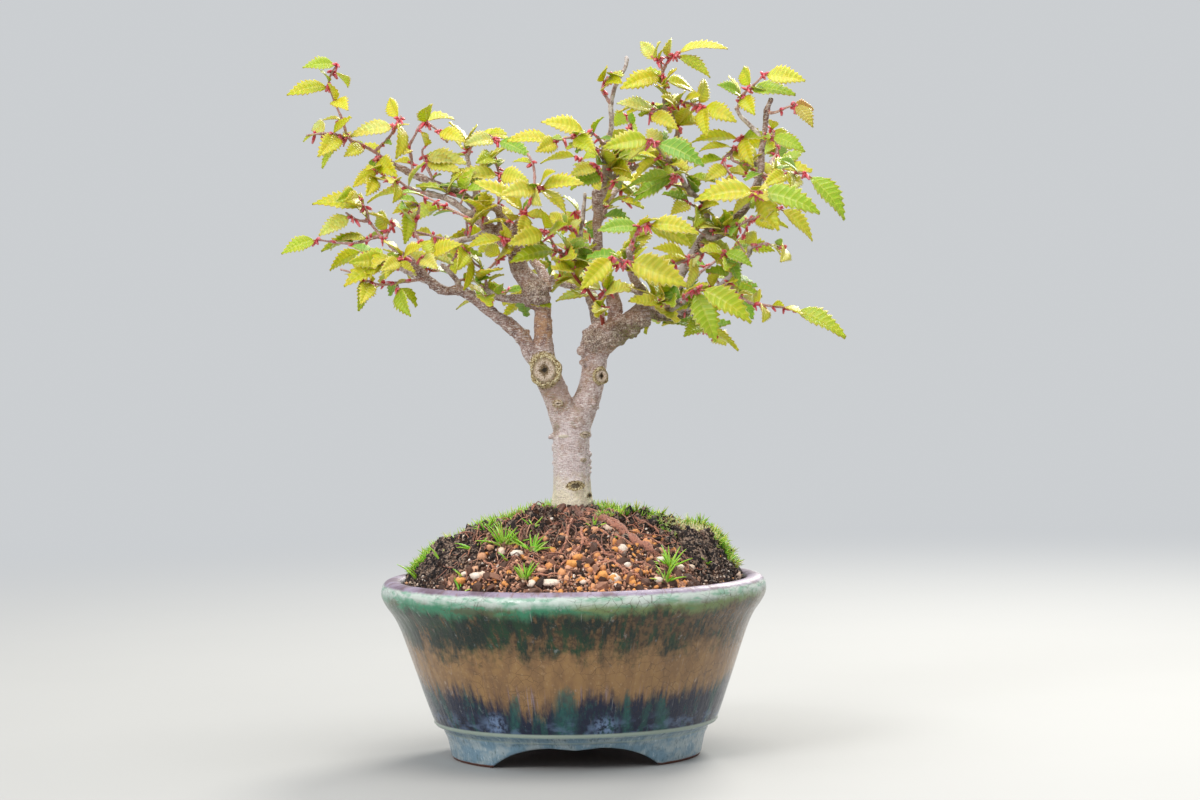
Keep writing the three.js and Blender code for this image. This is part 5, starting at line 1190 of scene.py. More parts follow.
def add_root_hairs(heap, draw):
    """Fine hairs that lie and arch over the front of the soil."""
    steps = 6
    for _ in range(420):
        x, y = draw.uniform(-36, 38), draw.uniform(-44, -12)
        heading, length, lift = draw.uniform(0, 2 * math.pi), draw.uniform(3, 9), draw.uniform(0.1, 1.0)
        bend, path = draw.uniform(-0.3, 0.3), []
        for k in range(steps + 1):
            if math.hypot(x, y) < 46:
                z = soil_surface(x, y) + 0.5 + lift * math.sin(math.pi * k / steps)
                path.append((Vector((x, y, z)), 0.17 - 0.06 * k / steps))
            heading += bend
            x, y = x + math.cos(heading) * length / steps, y + math.sin(heading) * length / steps
        if len(path) > 2:
            tube(heap, path, 3, 0, draw.uniform(0.2, 1.0))


def make_roots():
    heap = Heap()
    for i, root in enumerate(SURFACE_ROOTS):
        rows = [(x, y, 0, radius) for x, y, radius in root]
        path = []
        for point, radius in smooth_path(rows, 0.8):
            x = point.x + 0.5 * wobble(point, 0.3, i)
            y = point.y + 0.5 * wobble(point, 0.3, i + 40)
            z = soil_surface(x, y) + radius * 0.15 + 0.35 + 0.7 * radius * wobble(point, 0.3, i + 80)
            path.append((Vector((x, y, z)), radius * (1 + 0.4 * wobble(point, 0.6, i))))
        tube(heap, path, 7, 0, 0.58 if root[0][2] > 0.7 else 0.75)
    draw = random.Random(77)
    add_collar_roots(heap, draw)
    add_root_hairs(heap, draw)
    dress(heap, "surface_roots", [root_finish()])


# Moss and grass


def moss_finish():
    finish = Finish("moss")
    drift = finish.noise(finish.place, 0.11, 2.0)
    dry = finish.step(drift, 0.56, 0.62) * 0.6 + finish.near((33, -6, 63), 6, 11)
    colour = finish.layered(
        finish.ramp(finish.attribute("tone"), (0.0, (90, 156, 30)), (0.5, (142, 200, 46)),
                    (0.8, (184, 220, 80)), (0.9, (196, 200, 116)), (1.0, (222, 214, 164))),
        (dry * 0.85, (226, 214, 164)),
        (finish.step(finish.attribute("pale"), 0.35, 0.0) * 0.85, (44, 52, 20)))
    return finish.surface(colour, 0.6, (), Subsurface_Weight=0.15, Subsurface_Scale=0.001)


def sprig_forms(count, seed, leaves=6, spread=0.75, slim=1.0):
    """Star-like moss shoots one millimetre high, of narrow leaves round a point."""
    draw = random.Random(seed)
    meshes = []
    for _ in range(count):
        points, faces, heights = [], [], []
        for k in range(leaves):
            angle = 2 * math.pi * (k + draw.uniform(-0.25, 0.25)) / leaves
            lean = draw.uniform(0.08, spread)
            length = draw.uniform(0.7, 1.1)
            way = around(angle, math.sin(lean), math.cos(lean))
            side = Vector((-math.sin(angle), math.cos(angle), 0))
            out = way.cross(side)
            start = len(points)
            for share, wide in ((0.0, 0.11 * slim), (0.5, 0.12 * slim), (1.0, 0.0)):
                bend = around(angle) * 0.25 * spread * share * share
                middle = way * length * share + bend
                if share < 1:
                    points += [middle - side * wide, middle + side * wide, middle + out * 0.06 * slim]
                    heights += [share] * 3
                else:
                    points.append(middle)
                    heights.append(1.0)
            for a, b in ((0, 1), (1, 2), (2, 0)):
                faces.append([start + a, start + b, start + b + 3, start + a + 3])
            for a, b in ((3, 4), (4, 5), (5, 3)):
                faces.append([start + a, start + b, start + 6])
            faces.append([start + 2, start + 1, start])
        meshes.append(form_mesh("sprig", [p * MM for p in points], faces, heights))
    return meshes


MOSS_BANKS = {
    "moss_left": {"from": 108, "to": 222, "inner": 35, "outer": 46, "thick": 3.6},
    "moss_right": {"from": -36, "to": 80, "inner": 33, "outer": 44, "thick": 4.2},
}


def bank_point(bank, along, across):
    """A point on a moss cushion: along its arc and across it, both from 0 to 1."""
    angle = math.radians(bank["from"] + (bank["to"] - bank["from"]) * along)
    ragged = 2.5 * wobble((along * 40, 3, 1), 0.4, bank["from"])
    reach = bank["inner"] + ragged + (bank["outer"] - bank["inner"] - ragged) * across
    x, y = math.cos(angle) * reach, math.sin(angle) * reach
    edge = min(1.0, 5 * min(across, 1 - across, along * 4, (1 - along) * 4))
    swell = 0.55 + 0.45 * wobble((x, y, 0), 0.16, 4)
    return Vector((x, y, soil_surface(x, y) - 0.7 + bank["thick"] * swell * edge ** 0.6))


def mossy(point):
    """1 where moss grows: behind a ragged line that runs past the trunk."""
    x, y = point.x, point.y
    front = -9.0 if x < -6 else -13.0 if x > 8 else -5.0
    if abs(x) > 28:
        front = -4.0 if x < 0 else -9.0
    return 1.0 if y > front + 5 * wobble(point, 0.14, 12) + 2 * wobble(point, 0.5, 3) else 0.0


def cushion_mesh(bank, heap):
    """The body of a moss cushion goes in the heap; its upper side comes back as a sheet."""
    along_steps, across_steps = 60, 10
    upper = [bank_point(bank, i / along_steps, k / across_steps)
             for i in range(along_steps + 1) for k in range(across_steps + 1)]
    lower = [Vector((p.x, p.y, soil_surface(p.x, p.y) - 2)) for p in upper]
    wide, size = across_steps + 1, len(upper)
    over, under = [], []
    for i in range(along_steps):
        for k in range(across_steps):
            a = i * wide + k
            over.append([a, a + 1, a + wide + 1, a + wide])
            under.append([size + a, size + a + wide, size + a + wide + 1, size + a + 1])
    last = along_steps * wide
    rim = [*range(across_steps), *range(across_steps, last, wide),
           *range(last + across_steps, last, -1), *range(last, 0, -wide)]
    sides = [[b, a, size + a, size + b] for a, b in zip(rim, rim[1:] + rim[:1])]
    heap.add([p * MM for p in upper + lower], over + under + sides, 1, 0.1, 0.0)
    sheet = bpy.data.meshes.new("cushion")
    sheet.from_pydata([tuple(p * MM) for p in upper], [], over)
    return sheet, upper


def with_where(sheet, values):
    """A copy of a sheet with its where values."""
    copy = sheet.copy()
    copy.attributes.new("where", "FLOAT", "POINT").data.foreach_set("value", values)
    return copy


def make_moss(tree):
    paint, earth = moss_finish(), grain_finish()
    stars = form_group("sprig", sprig_forms(5, 17))
    spikes = form_group("spike", sprig_forms(5, 29, 5, 0.42, 0.5))
    crumbs = form_group("cushion_crumb", crumb_forms(6, 5))
    for name, bank in MOSS_BANKS.items():
        heap = Heap()
        sheet, upper = cushion_mesh(bank, heap)
        green = with_where(sheet, [mossy(p) for p in upper])
        dark = with_where(sheet, [1 - 0.6 * mossy(p) for p in upper])
        palest = 0.95 if name == "moss_right" else 0.8
        for slot, sheet, *row in ((0, green, stars, paint, 1.0, 1.5e6, (1.2, 2.4), (0.0, palest), 5, 0.5),
                                  (0, green, spikes, paint, 1.7, 4e5, (2.2, 4.0), (0.1, palest), 6, 0.3),
                                  (1, dark, crumbs, earth, 0.85, 1.4e6, (0.35, 0.95), (0.0, 0.4), 7)):
            heap.take(scattered(tree, sheet, name, *row), slot)
        dress(heap, name + "_cushion", [paint, earth], name)

    def cover(point):
        distance = math.hypot(point.x, point.y)
        return mossy(point) if 7 < distance < 46.8 else 0.0

    heap = Heap()
    for row in ((stars, paint, 1.2, 1.2e6, (1.0, 2.2), (0.0, 0.9), 14, 0.5),
                (spikes, paint, 1.9, 3.5e5, (2.4, 4.4), (0.0, 0.9), 15, 0.35)):
        sheet = grid_surface("moss_film", mound_point, cover, 48, 120)
        heap.take(scattered(tree, sheet, "moss_film", *row), 0)
    dress(heap, "moss_film", [paint])
    for forms in (stars, spikes, crumbs):
        drop_forms(forms)


TUFTS = {
    "grass_left": {"foot": (-19, -26), "height": 8.6, "blades": 34, "seed": 7},
    "grass_front": {"foot": (-11, -34), "height": 5.6, "blades": 18, "seed": 11},
    "grass_right": {"foot": (27, -31), "height": 7, "blades": 22, "seed": 23},
}
SMALL_TUFTS = (
    ((-27, -24), 6, 10), ((-37, -18), 6, 8), ((-44, -12), 8, 8), ((-24, -20), 5, 9), ((6, -22), 4, 7),
    ((-11, -22), 4, 6), ((38, -20), 4, 6), ((44, -8), 5, 6), ((-30, -31), 4, 5), ((10, -26), 3, 5),
    ((-13, -41), 6.5, 14), ((25.6, -38), 6.5, 14), ((-14, -27), 6, 10), ((-17.5, -33), 5, 8),
    ((-31, -37), 5, 6),
)


def grass_finish():
    finish = Finish("grass")
    colour = finish.layered(
        finish.ramp(finish.attribute("tone"), (0.0, (104, 172, 30)), (0.6, (156, 212, 56)),
                    (1.0, (202, 228, 122))),
        (finish.step(finish.attribute("pale"), 0.3, 0.0), (196, 204, 140)))
    streak = finish.noise(finish.scaled(finish.place, (3, 3, 0.3)), 1.0)
    return finish.surface(colour, 0.45, ((streak, 0.03),), Subsurface_Weight=0.2, Subsurface_Scale=0.001)


def add_tuft(heap, foot, height, blades, draw):
    base = Vector((foot[0], foot[1], soil_surface(*foot) - 0.6))
    for _ in range(blades):
        angle, lean = draw.uniform(0, 2 * math.pi), draw.uniform(0.2, 1.15)
        length, droop = height * draw.uniform(0.55, 1.1), draw.uniform(0.1, 0.7)
        out = around(angle)
        start = base + out * draw.uniform(0, 0.8)
        rows, heights = [], []
        steps = 6
        for i in range(steps + 1):
            share = i / steps
            bend = lean + droop * share
            start_width = 0.3 * (1 - share) ** 0.6 + 0.05
            rows.append((start.copy(), start_width))
            heights += [share] * 4
            start = start + (out * math.sin(bend) + Vector((0, 0, math.cos(bend)))) * (length / steps)
        tube(heap, rows, 4, 0, draw.uniform(0, 1), heights + [0.0, 1.0], round_end=False)


def make_grass():
    paint = grass_finish()
    for name, tuft in TUFTS.items():
        heap = Heap()
        add_tuft(heap, tuft["foot"], tuft["height"], tuft["blades"], random.Random(tuft["seed"]))
        dress(heap, name + "_blades", [paint], name)
    heap = Heap()
    for i, (foot, height, blades) in enumerate(SMALL_TUFTS):
        add_tuft(heap, foot, height, blades, random.Random(100 + i))
    dress(heap, "grass_small", [paint])


# The wood

VOXEL = 0.0004
FINE_LIMB = 1.25
# How much lichen a fine limb carries, and how red its bark is
LICHEN = {
    "bare_top": 0.9, "right_side": 0.9, "right_spur": 0.9, "thin_riser": 0.9, "fore_cross": 0.8,
    "riser_side": 0.6, "left_spur": 0.7, "riser_top": 0.45, "top_stem": 0.4, "low_right": 0.5,
    "stub_left": 0.5,
}
RED_BARK = {"red_twig": 1.0, "inner_twig": 0.6}
SLIM = {"red_twig": 0.66}
# Burrs: middle, radius and the number of little knobs over each
BURRS = (
    ((-9.3, -4.6, 132.3), 3.9, 70), ((6.6, -0.5, 118.6), 3.3, 44), ((3.6, 0.5, 115.5), 0.8, 2),
    ((12, -2, 120), 3.6, 44), ((17, -2, 122), 2.8, 34), ((20.5, -2.6, 124.5), 2.4, 24),
    ((-5.5, -1.4, 91.4), 0.8, 2), ((5.3, -1, 91.6), 0.8, 2), ((5.4, -0.6, 84), 0.6, 0),
    ((5.3, -0.8, 82), 0.5, 0), ((-5.4, -0.8, 87.5), 0.5, 0), ((-1.2, -3.6, 102.6), 0.5, 0),
    ((-15.6, -4, 147.8), 2.0, 10), ((22.8, -2.8, 128.6), 2.6, 18), ((-13.6, -5.6, 120), 1.9, 12),
    ((-5.0, -4.4, 136.6), 0.7, 2), ((6.7, -2.2, 101.2), 0.6, 0),
)
# Small knobs on the smooth bark: place and radius
KNOBS = (
    (3.3, -1.4, 115.7, 1.4), (3.6, -1.2, 112.3, 0.95), (6.7, -3.7, 100.7, 0.85), (-1.4, -2.2, 105.4, 0.8),
    (-4.2, -5.1, 98.8, 0.8), (-5.0, -1.2, 88.6, 0.75), (-5.1, -1.0, 83.8, 0.7), (5.2, -1.4, 86.1, 0.8),
    (5.2, -0.8, 83.9, 0.7), (5.1, -1.8, 81.0, 0.65),
)
# Rolled rings round old cuts: middle, radius and the way each faces
CALLUSES = (
    ((-7, -6.4, 110.5), 4.7, (-0.1, -1, 0.05)), ((8.8, -1.3, 108.4), 2.5, (0.45, -1, 0.1)),
    ((-3.5, -5.6, 100.9), 1.5, (-0.2, -1, 0)), ((3.6, -4.0, 91.8), 1.3, (0.5, -1, 0)),
    ((3.2, -4.2, 84.6), 1.0, (0.5, -1, 0)),
)
# The painted cuts: middle across and up, half width, half height, and the same of the hole
CUTS = (
    (-7.3, 110.5, 4.9, 5.1, 1.3, 1.8), (9.0, 108.4, 2.6, 2.7, 0.55, 0.8), (-3.6, 100.9, 1.6, 1.1, 0.6, 0.22),
    (4.0, 91.8, 1.5, 0.95, 0.7, 0.2), (3.4, 84.6, 0.95, 0.6, 0.5, 0.12), (5.0, 74.4, 0.9, 0.9, 0.5, 0.7),
)
# Ridges across the bark: middle, half length and radius
RIDGES = (((-2.2, -5.1, 91.5), 1.5, 0.45), ((1, -5.3, 78.5), 2.3, 0.35), ((1, -5.3, 76.1), 2.1, 0.35))


def add_crumbs(heap, middle, radius, count, seed):
    """Little knobs all over the front of a burr."""
    draw = random.Random(seed)
    for _ in range(count):
        way = Vector((draw.uniform(-1, 1), draw.uniform(-1, 0.5), draw.uniform(-1, 1))).normalized()
        ball(heap, Vector(middle) + way * radius * draw.uniform(0.9, 1.05), draw.uniform(0.45, 0.95))


def callus_path(middle, radius, facing, share, lift, thick):
    """A rolled ring round an old cut, as a closed loop of points."""
    facing = Vector(facing).normalized()
    side = facing.cross(Vector((0, 0, 1))).normalized()
    up = side.cross(facing)
    steps = 26
    path = []
    for k in range(steps + 1):
        angle = 2 * math.pi * k / steps
        uneven = 1 + 0.07 * math.sin(angle * 3 + radius) + 0.05 * math.sin(angle * 7)
        way = side * math.cos(angle) + up * math.sin(angle) * (1.06 if radius > 2 else 0.66)
        path.append((Vector(middle) + way * radius * share * uneven + facing * lift, radius * thick))
    return path


def ball(heap, middle, radius):
    tilts = [math.pi * i / 12 for i in range(12, -1, -1)]
    rows = [(Vector(middle) + Vector((0, 0, math.cos(tilt) * radius)), max(0.02, math.sin(tilt) * radius))
            for tilt in tilts]
    tube(heap, rows, 12, round_end=False)


def bark_relief(point):
    """How far the bark stands proud of the limb, in millimetres."""
    rough = 0.35 + 0.65 * min(1.0, max(0.0, (point[2] - 108) / 12))
    rise = rough * (0.3 * wobble(point, 0.28, 1) + 0.16 * wobble(point, 0.75, 4))
    rise += 0.07 * wobble((point[0] * 0.6, point[1] * 0.6, point[2] * 3.2), 0.9, 8)
    rise += 0.9 * max(0.0, wobble(point, 0.65, 15) - 0.38)
    foot = max(0.0, 1 - abs(point[2] - 68) / 7)
    angle = math.atan2(point[1], point[0])
    return rise + foot * 0.45 * math.sin(4 * angle + 1.4)


def bark_finish():
    finish = Finish("bark")
    mix, layered, step, near = finish.mix, finish.layered, finish.step, finish.near
    x, y, z = finish.split(finish.place)
    lichen, red = finish.attribute("pale"), finish.attribute("tone")
    up = finish.split(finish.node("ShaderNodeNewGeometry", output="Normal"))[2]
    patches = finish.noise(finish.place, 0.16, 4.0, 0.6)
    mottle = finish.noise(finish.place, 0.6, 5.0, 0.62)
    fine = finish.noise(finish.place, 2.4, 4.0, 0.6)
    bands = finish.noise(finish.scaled(finish.place, (0.35, 0.35, 2.1)), 1.0, 3.0)
    dashes = finish.noise(finish.scaled(finish.place, (0.8, 0.8, 5.2)), 1.0, 2.0)

    smooth = finish.ramp(mottle, (0.3, (158, 126, 116)), (0.5, (206, 182, 176)), (0.7, (236, 222, 218)))
    rugged = finish.ramp(mottle, (0.32, (104, 72, 62)), (0.5, (162, 126, 114)), (0.68, (214, 190, 180)))
    right = step(x, 17, 27) * step(z, 178, 150)
    under = right * step(up + (mottle - 0.5) * 1.2, -0.05, -0.5)
    old = mix(step(mottle, 0.4, 0.6), (178, 158, 146), (236, 226, 218))
    algae = step(z + (mottle - 0.5) * 14, 82, 74) * step(fine, 0.25, 0.5)
    green = step(patches, 0.57, 0.66) * step(z, 122, 96) * step(fine, 0.4, 0.6) * 0.5
    colour = layered(
        smooth, (step(z, 104, 92) * 0.5, (240, 224, 224)), (step(z, 108, 122), rugged),
        (step(patches, 0.5, 0.62) * 0.6, (168, 128, 98)),
        (step(bands, 0.54, 0.7) * 0.5, (226, 212, 208)),
        (step(dashes, 0.57, 0.63) * 0.6, (138, 104, 90)),
        (step(dashes, 0.42, 0.35) * 0.9, (252, 246, 242)),
        (step(fine, 0.54, 0.64) * 0.6, (244, 236, 232)),
        (step(fine, 0.43, 0.34) * 0.5, (136, 104, 94)),
        (near((-3.3, -5, 105.3), 2, 8) * step(mottle, 0.35, 0.55) * 0.6, (150, 116, 92)),
        (near((-7.6, -6, 123), 2, 8) * step(mottle, 0.42, 0.6) * 0.7, (192, 142, 92)),
        (near((8, -3, 140), 4, 26) * step(patches, 0.4, 0.55) * 0.7, (170, 132, 104)),
        (right * step(up + (mottle - 0.5) * 1.6, -0.15, 0.4) * 0.8, (214, 202, 206)),
        (under * 0.85, (78, 60, 50)), (under * step(fine, 0.45, 0.58) * 0.85, (160, 152, 84)),
        (lichen * step(mottle, 0.3, 0.5), old), (red * step(mottle, 0.2, 0.4), (150, 58, 40)),
        (algae * 0.8, (252, 240, 208)), (green, (132, 134, 78)))

    # The cuts and the scar on the front, the rough burrs and the moss under the fork
    cork = finish.ramp(fine, (0.38, (70, 54, 44)), (0.5, (168, 146, 128)), (0.62, (226, 212, 196)))
    olive = finish.ramp(fine, (0.38, (88, 66, 38)), (0.47, (176, 150, 98)), (0.6, (232, 220, 182)))
    wood = mix(step(fine, 0.4, 0.6), (186, 160, 136), (226, 208, 192))
    front = step(y, 0.6, -1.0)

    def oval(middle_x, middle_z, wide, high):
        """0 in the middle of an oval on the front of the wood, 1 on its edge."""
        across, over = (x - middle_x) / wide, (z - middle_z) / high
        return (across * across + over * over) ** 0.5 + (fine - 0.5) * 0.5 + (mottle - 0.5) * 0.3

    for middle_x, middle_z, wide, high, hole_wide, hole_high in CUTS:
        big = 1 if wide > 2 else 0.5
        rim = oval(middle_x, middle_z, wide, high)
        pit = abs(x - middle_x) / hole_wide + abs(z - middle_z) / hole_high + (fine - 0.5) * 1.6
        colour = layered(
            colour, (step(rim, 1.1, 0.98) * front * (0.4 + 0.6 * big), olive),
            (step(abs(rim - 0.66), 0.1, 0.03) * front * 0.7 * big, (96, 72, 44)),
            (step(rim, 0.66, 0.52) * front * 0.9, wood),
            (step(pit, 1.6, 1.0) * front * 0.9, (112, 88, 52)),
            (step(pit, 0.9, 0.4) * front, (40, 30, 18)))
    scar, dash = oval(1, 77.3, 2.5, 1.4), oval(-2.2, 91.5, 1.6, 0.5)
    colour = layered(
        colour, (step(scar, 1.15, 0.95) * front, olive), (step(scar, 0.62, 0.4) * front * 0.8, (58, 42, 28)),
        (step(dash, 1.1, 0.8) * front * 0.8, (226, 214, 190)))
    for middle, size in (((-9.3, -6, 132.3), 5), ((7, -2, 118.6), 4.6), ((12, -3, 119.4), 4.4),
                         ((16, -3, 121), 4.4), ((20, -3, 123.6), 3.6)):
        colour = mix(near(middle, size * 0.55, size) * step(mottle, 0.3, 0.5) * 0.8, colour, cork)
    moss = near((17, -1, 119.5), 3, 8) * step(fine, 0.4, 0.6) * step(up, 0.2, -0.3)
    colour = layered(
        colour, (moss * 0.9, (128, 126, 46)), (step(z + (mottle - 0.5) * 5, 72.4, 71.0), (58, 40, 36)))
    return finish.surface(colour, 0.62 + mottle * 0.3, ((dashes, 0.25), (mottle, 0.4), (fine, 0.16)))


def limb_joined(rows):
    """Whether a limb is thick enough to be grown into the smooth body of the tree."""
    return sum(row[3] for row in rows) / len(rows) > FINE_LIMB


def make_wood():
    body = Heap()
    for name, rows in LIMBS.items():
        thick = [row for row in rows if row[3] >= 1.05]
        if limb_joined(rows) or len(thick) > 1:
            kept = rows if limb_joined(rows) else thick
            wide = 1.02 if name == "trunk" else 0.96
            tube(body, smooth_path([(*row[:3], row[3] * wide) for row in kept], 1.0), 14)
    for i, (middle, radius, crumbs) in enumerate(BURRS):
        ball(body, middle, radius * 0.94)
        add_crumbs(body, middle, radius, crumbs, 60 + i)
    for *middle, radius in KNOBS:
        ball(body, middle, radius)
    for middle, radius, facing in CALLUSES:
        tube(body, callus_path(middle, radius, facing, 0.8, 0.0, 0.2), 10, round_end=False)
        tube(body, callus_path(middle, radius, facing, 0.5, 0.25, 0.19), 10, round_end=False)
    for middle, half, rise in RIDGES:
        ends = [(Vector(middle) + Vector((half * t, abs(t) * 0.35, 0)), rise * (1.2 - 0.6 * abs(t)))
                for t in (-1, -0.5, 0, 0.5, 1)]
        tube(body, ends, 8)
    carrier = body.piece("wood_carrier", [])
    remesh = carrier.modifiers.new("join", "REMESH")
    remesh.mode = "VOXEL"
    remesh.voxel_size = VOXEL
    relax = carrier.modifiers.new("relax", "SMOOTH")
    relax.factor, relax.iterations = 0.5, 3
    mesh = settle(carrier, "wood_body")
    normals = [vertex.normal.copy() for vertex in mesh.vertices]
    for vertex, normal in zip(mesh.vertices, normals):
        place = vertex.co / MM
        rise = bark_relief(place)
        for middle, radius, _ in CALLUSES:
            if (place - Vector(middle)).length < radius * 1.2:
                rise *= 0.5
        for middle, radius, crumbs in BURRS:
            if crumbs > 9 and (place - Vector(middle)).length < radius * 1.35:
                rise += 0.3 * wobble(place, 1.3, 21)
        vertex.co += normal * rise * MM

    heap = Heap()
    heap.add([vertex.co.copy() for vertex in mesh.vertices],
             [list(polygon.vertices) for polygon in mesh.polygons], tone=0.0)
    bpy.data.meshes.remove(mesh)
    draw = random.Random(40)
    for name, rows in LIMBS.items():
        if limb_joined(rows):
            continue
        path = []
        smooth = smooth_path(rows, 0.9)
        for i, (point, radius) in enumerate(smooth):
            knob = 1 + 0.16 * wobble(point, 0.55, 2) + (0.22 if i % 7 == 3 else 0.0) * draw.uniform(0.4, 1)
            lean = Vector((wobble(point, 0.3, 11), wobble(point, 0.3, 12), wobble(point, 0.3, 13))) * 0.28
            lean = lean if 0 < i < len(smooth) - 1 else lean * 0
            path.append((point + lean, radius * SLIM.get(name, 0.88) * knob))
        tube(heap, path, 8, 0, RED_BARK.get(name, 0.0), LICHEN.get(name, 0.4))
    dress(heap, "zelkova_wood", [bark_finish()], "wood")


# The leaves

LEAF_TURNS = (
    (0, 0), (0, 12), (0, -12), (14, 0), (-14, 0), (13, 13), (-13, 13), (13, -13), (-13, -13), (0, 25),
    (0, -25), (28, 0), (-28, 0), (26, 20), (-26, 20), (26, -20), (-26, -20), (45, 0), (-45, 0), (0, 45),
    (0, -45), (60, 15), (-60, 15),
)
LEAF_SIZES = (1, 0.8)
TEETH = 8
PALE_SHOOTS = ("top", "crown", "star")


def turned(step, turn, size):
    azimuth = math.atan2(step.y, step.x) + math.radians(turn[0])
    tilt = math.atan2(step.z, math.hypot(step.x, step.y)) + math.radians(turn[1])
    return around(azimuth, math.cos(tilt), math.sin(tilt)) * (step.length * size)


def blade_frame(step, roll, front):
    """Along the blade, out of its upper face, and the two in one turn."""
    along = step.normalized()
    up = (Vector((0, 0, 1)) - along * along.z).normalized()
    side = along.cross(up)
    if side.dot(front) < 0:
        side = -side
    normal = up * math.cos(roll) + side * math.sin(roll)
    return along, normal, normal.cross(along)


def point_on(stem, place):
    i = min(int(place), len(stem) - 2)
    return Vector(stem[i]).lerp(Vector(stem[i + 1]), place - i)


def ruled_leaves(shoot, seed):
    """The leaves of a shoot seen from behind, left and right of its stems by turns."""
    state = seed

    def draw():
        nonlocal state
        state = (state * 16807) % 2147483647
        return state / 2147483647

    leaves = []
    for s, (stem, count) in enumerate(zip(shoot["stems"], shoot["counts"])):
        end = Vector(stem[-1]) - Vector(stem[-2])
        azimuth = math.atan2(end.y, end.x)
        for i in range(count):
            back = 0.42 * (count - 1 - i) / max(1, count - 1)
            place = (len(stem) - 1) * (1 - back)
            swing = (1 if i % 2 else -1) * (0.5 + 0.5 * draw())
            droop = 0.15 + 0.45 * draw()
            length = 11.5 + 3 * draw()
            leaves.append([s, place, length * math.cos(droop) * math.cos(azimuth + swing),
                           length * math.cos(droop) * math.sin(azimuth + swing), -length * math.sin(droop),
                           20 + 35 * draw()])
    return leaves


def leaf_steps(node, shoot, leaves, front):
    """Each leaf that the node holds: its foot, the way it was turned, and its roll."""
    points = frame["nodes"][node].data.vertices
    tree = KDTree(len(points))
    for i, vertex in enumerate(points):
        tree.insert(vertex.co / MM, i)
    tree.balance()
    found = []
    for stem, place, x, y, z, roll in leaves:
        foot, angle = point_on(shoot["stems"][stem], place), math.radians(roll)
        best, best_miss = None, 0.06
        for size in LEAF_SIZES:
            for turn in LEAF_TURNS:
                step = turned(Vector((x, y, z)), turn, size)
                _, normal, _ = blade_frame(step, angle, front)
                miss = max(tree.find(foot + step + normal * half)[2]
                           for half in (BLADE_THICKNESS / 2, -BLADE_THICKNESS / 2))
                if miss < best_miss:
                    best, best_miss = (foot, step, angle), miss
        if best:
            found.append(best)
    return found


def blade_half(share):
    return (BLADE_WIDTH / 2) * (share ** 0.7 * (1 - share) ** 1.25) / 0.28


def leaf_form(seed):
    """A leaf one millimetre long from a short stalk: toothed, ribbed and arched."""
    draw = random.Random(seed)
    columns = (-1, -0.62, -0.22, 0, 0.22, 0.62, 1)
    stalk, last, wide = 0.06, 2 * TEETH + 1, len(columns)
    curl, bow = draw.uniform(-0.05, 0.09), draw.uniform(-0.05, 0.05)
    uneven = [draw.uniform(0.93, 1.07) for _ in range(last + 1)]
    points, marks = [], []
    for i, much in enumerate(uneven):
        share, tooth = stalk + 0.03 + (0.93 - stalk) * i / last, i % 2 == 0
        for column in columns:
            side = abs(column)
            slant = 0.1 * side ** 1.2 * (1 - 0.5 * share)
            along = min(0.995, share + slant + (0.034 if tooth else -0.006) * side ** 4)
            half = blade_half(min(0.985, share + 0.02)) * (1.13 if tooth else 0.86) ** (side ** 3) * much
            if i == last:
                along, half = 1.0 - 0.02 * side, half * 0.25
            out = column * half
            z = BLADE_ARCH * 4 * along * (1 - along) + (BLADE_FOLD + curl) * abs(out) * 0.9
            z += (-0.006 if tooth else 0.009) * math.sin(math.pi * min(1.0, side * 1.1))
            z += 0.012 * math.sin(along * 9 + seed + column * 1.5) * side
            z -= 0.012 * (column == 0)
            points.append(Vector((along, out + bow * along * (1 - along), z)))
            marks.append(((column + 1) / 2, i / 20))
    thin = Vector((0, 0, 0.006))
    sheet = len(points)
    solid = [point + thin for point in points] + [point - thin for point in points]
    faces, corners = [], []
    for i in range(last):
        for k in range(wide - 1):
            a = i * wide + k
            quad = [a, a + wide, a + wide + 1, a + 1]
            faces += [quad[::-1], [q + sheet for q in quad]]
            corners += [marks[q] for q in quad[::-1] + quad]
    tip = last * wide
    rim = [*range(wide), *range(2 * wide - 1, tip + wide, wide),
           *range(tip + wide - 2, tip - 1, -1), *range(tip - wide, 0, -wide)]
    for a, b in zip(rim, rim[1:] + rim[:1]):
        faces.append([b + sheet, a + sheet, a, b][::-1])
        corners += [marks[b], marks[a], marks[a], marks[b]][::-1]
    start = len(solid)
    for i in range(4):
        share = i / 3
        for k in range(5):
            angle = 2 * math.pi * k / 5
            radius = 0.02 - 0.004 * share
            solid.append(Vector((share * 0.12, math.cos(angle) * radius,
                                 BLADE_ARCH * 4 * share * 0.12 - 0.004 + math.sin(angle) * radius)))
    for i in range(3):
        for k in range(5):
            a, b = start + i * 5 + k, start + i * 5 + (k + 1) % 5
            faces.append([a, b, b + 5, a + 5][::-1])
            corners += [(0.5, 0.95)] * 4
    for ring, order in ((0, 1), (3, -1)):
        faces.append([start + ring * 5 + k for k in range(5)][::order])
        corners += [(0.5, 0.95)] * 5
    return form_mesh("leaf", [p * MM for p in solid], faces, [p.x for p in solid], corners)


def leaf_tree():
    """Sets a leaf on each point, turned, sized and shaded as the point says."""
    board, start = new_tree("leaves", {
        "Points": "Geometry", "Forms": "Collection", "Finish": "Material", "Size": "Float"}, "Spray")

    def named(label, kind):
        return board.node("GeometryNodeInputNamedAttribute", {"data_type": kind}, {"Name": label})
    turn = board.node("FunctionNodeEulerToRotation", {}, {0: named("turn", "FLOAT_VECTOR")})
    dots = board.node("GeometryNodeMeshToPoints", {"mode": "VERTICES"}, {"Mesh": start})
    return form_copies(board, start, dots, turn, named("length", "FLOAT") * start.output("Size"),
                       named("shade", "FLOAT"), Instance_Index=named("pick", "INT"))


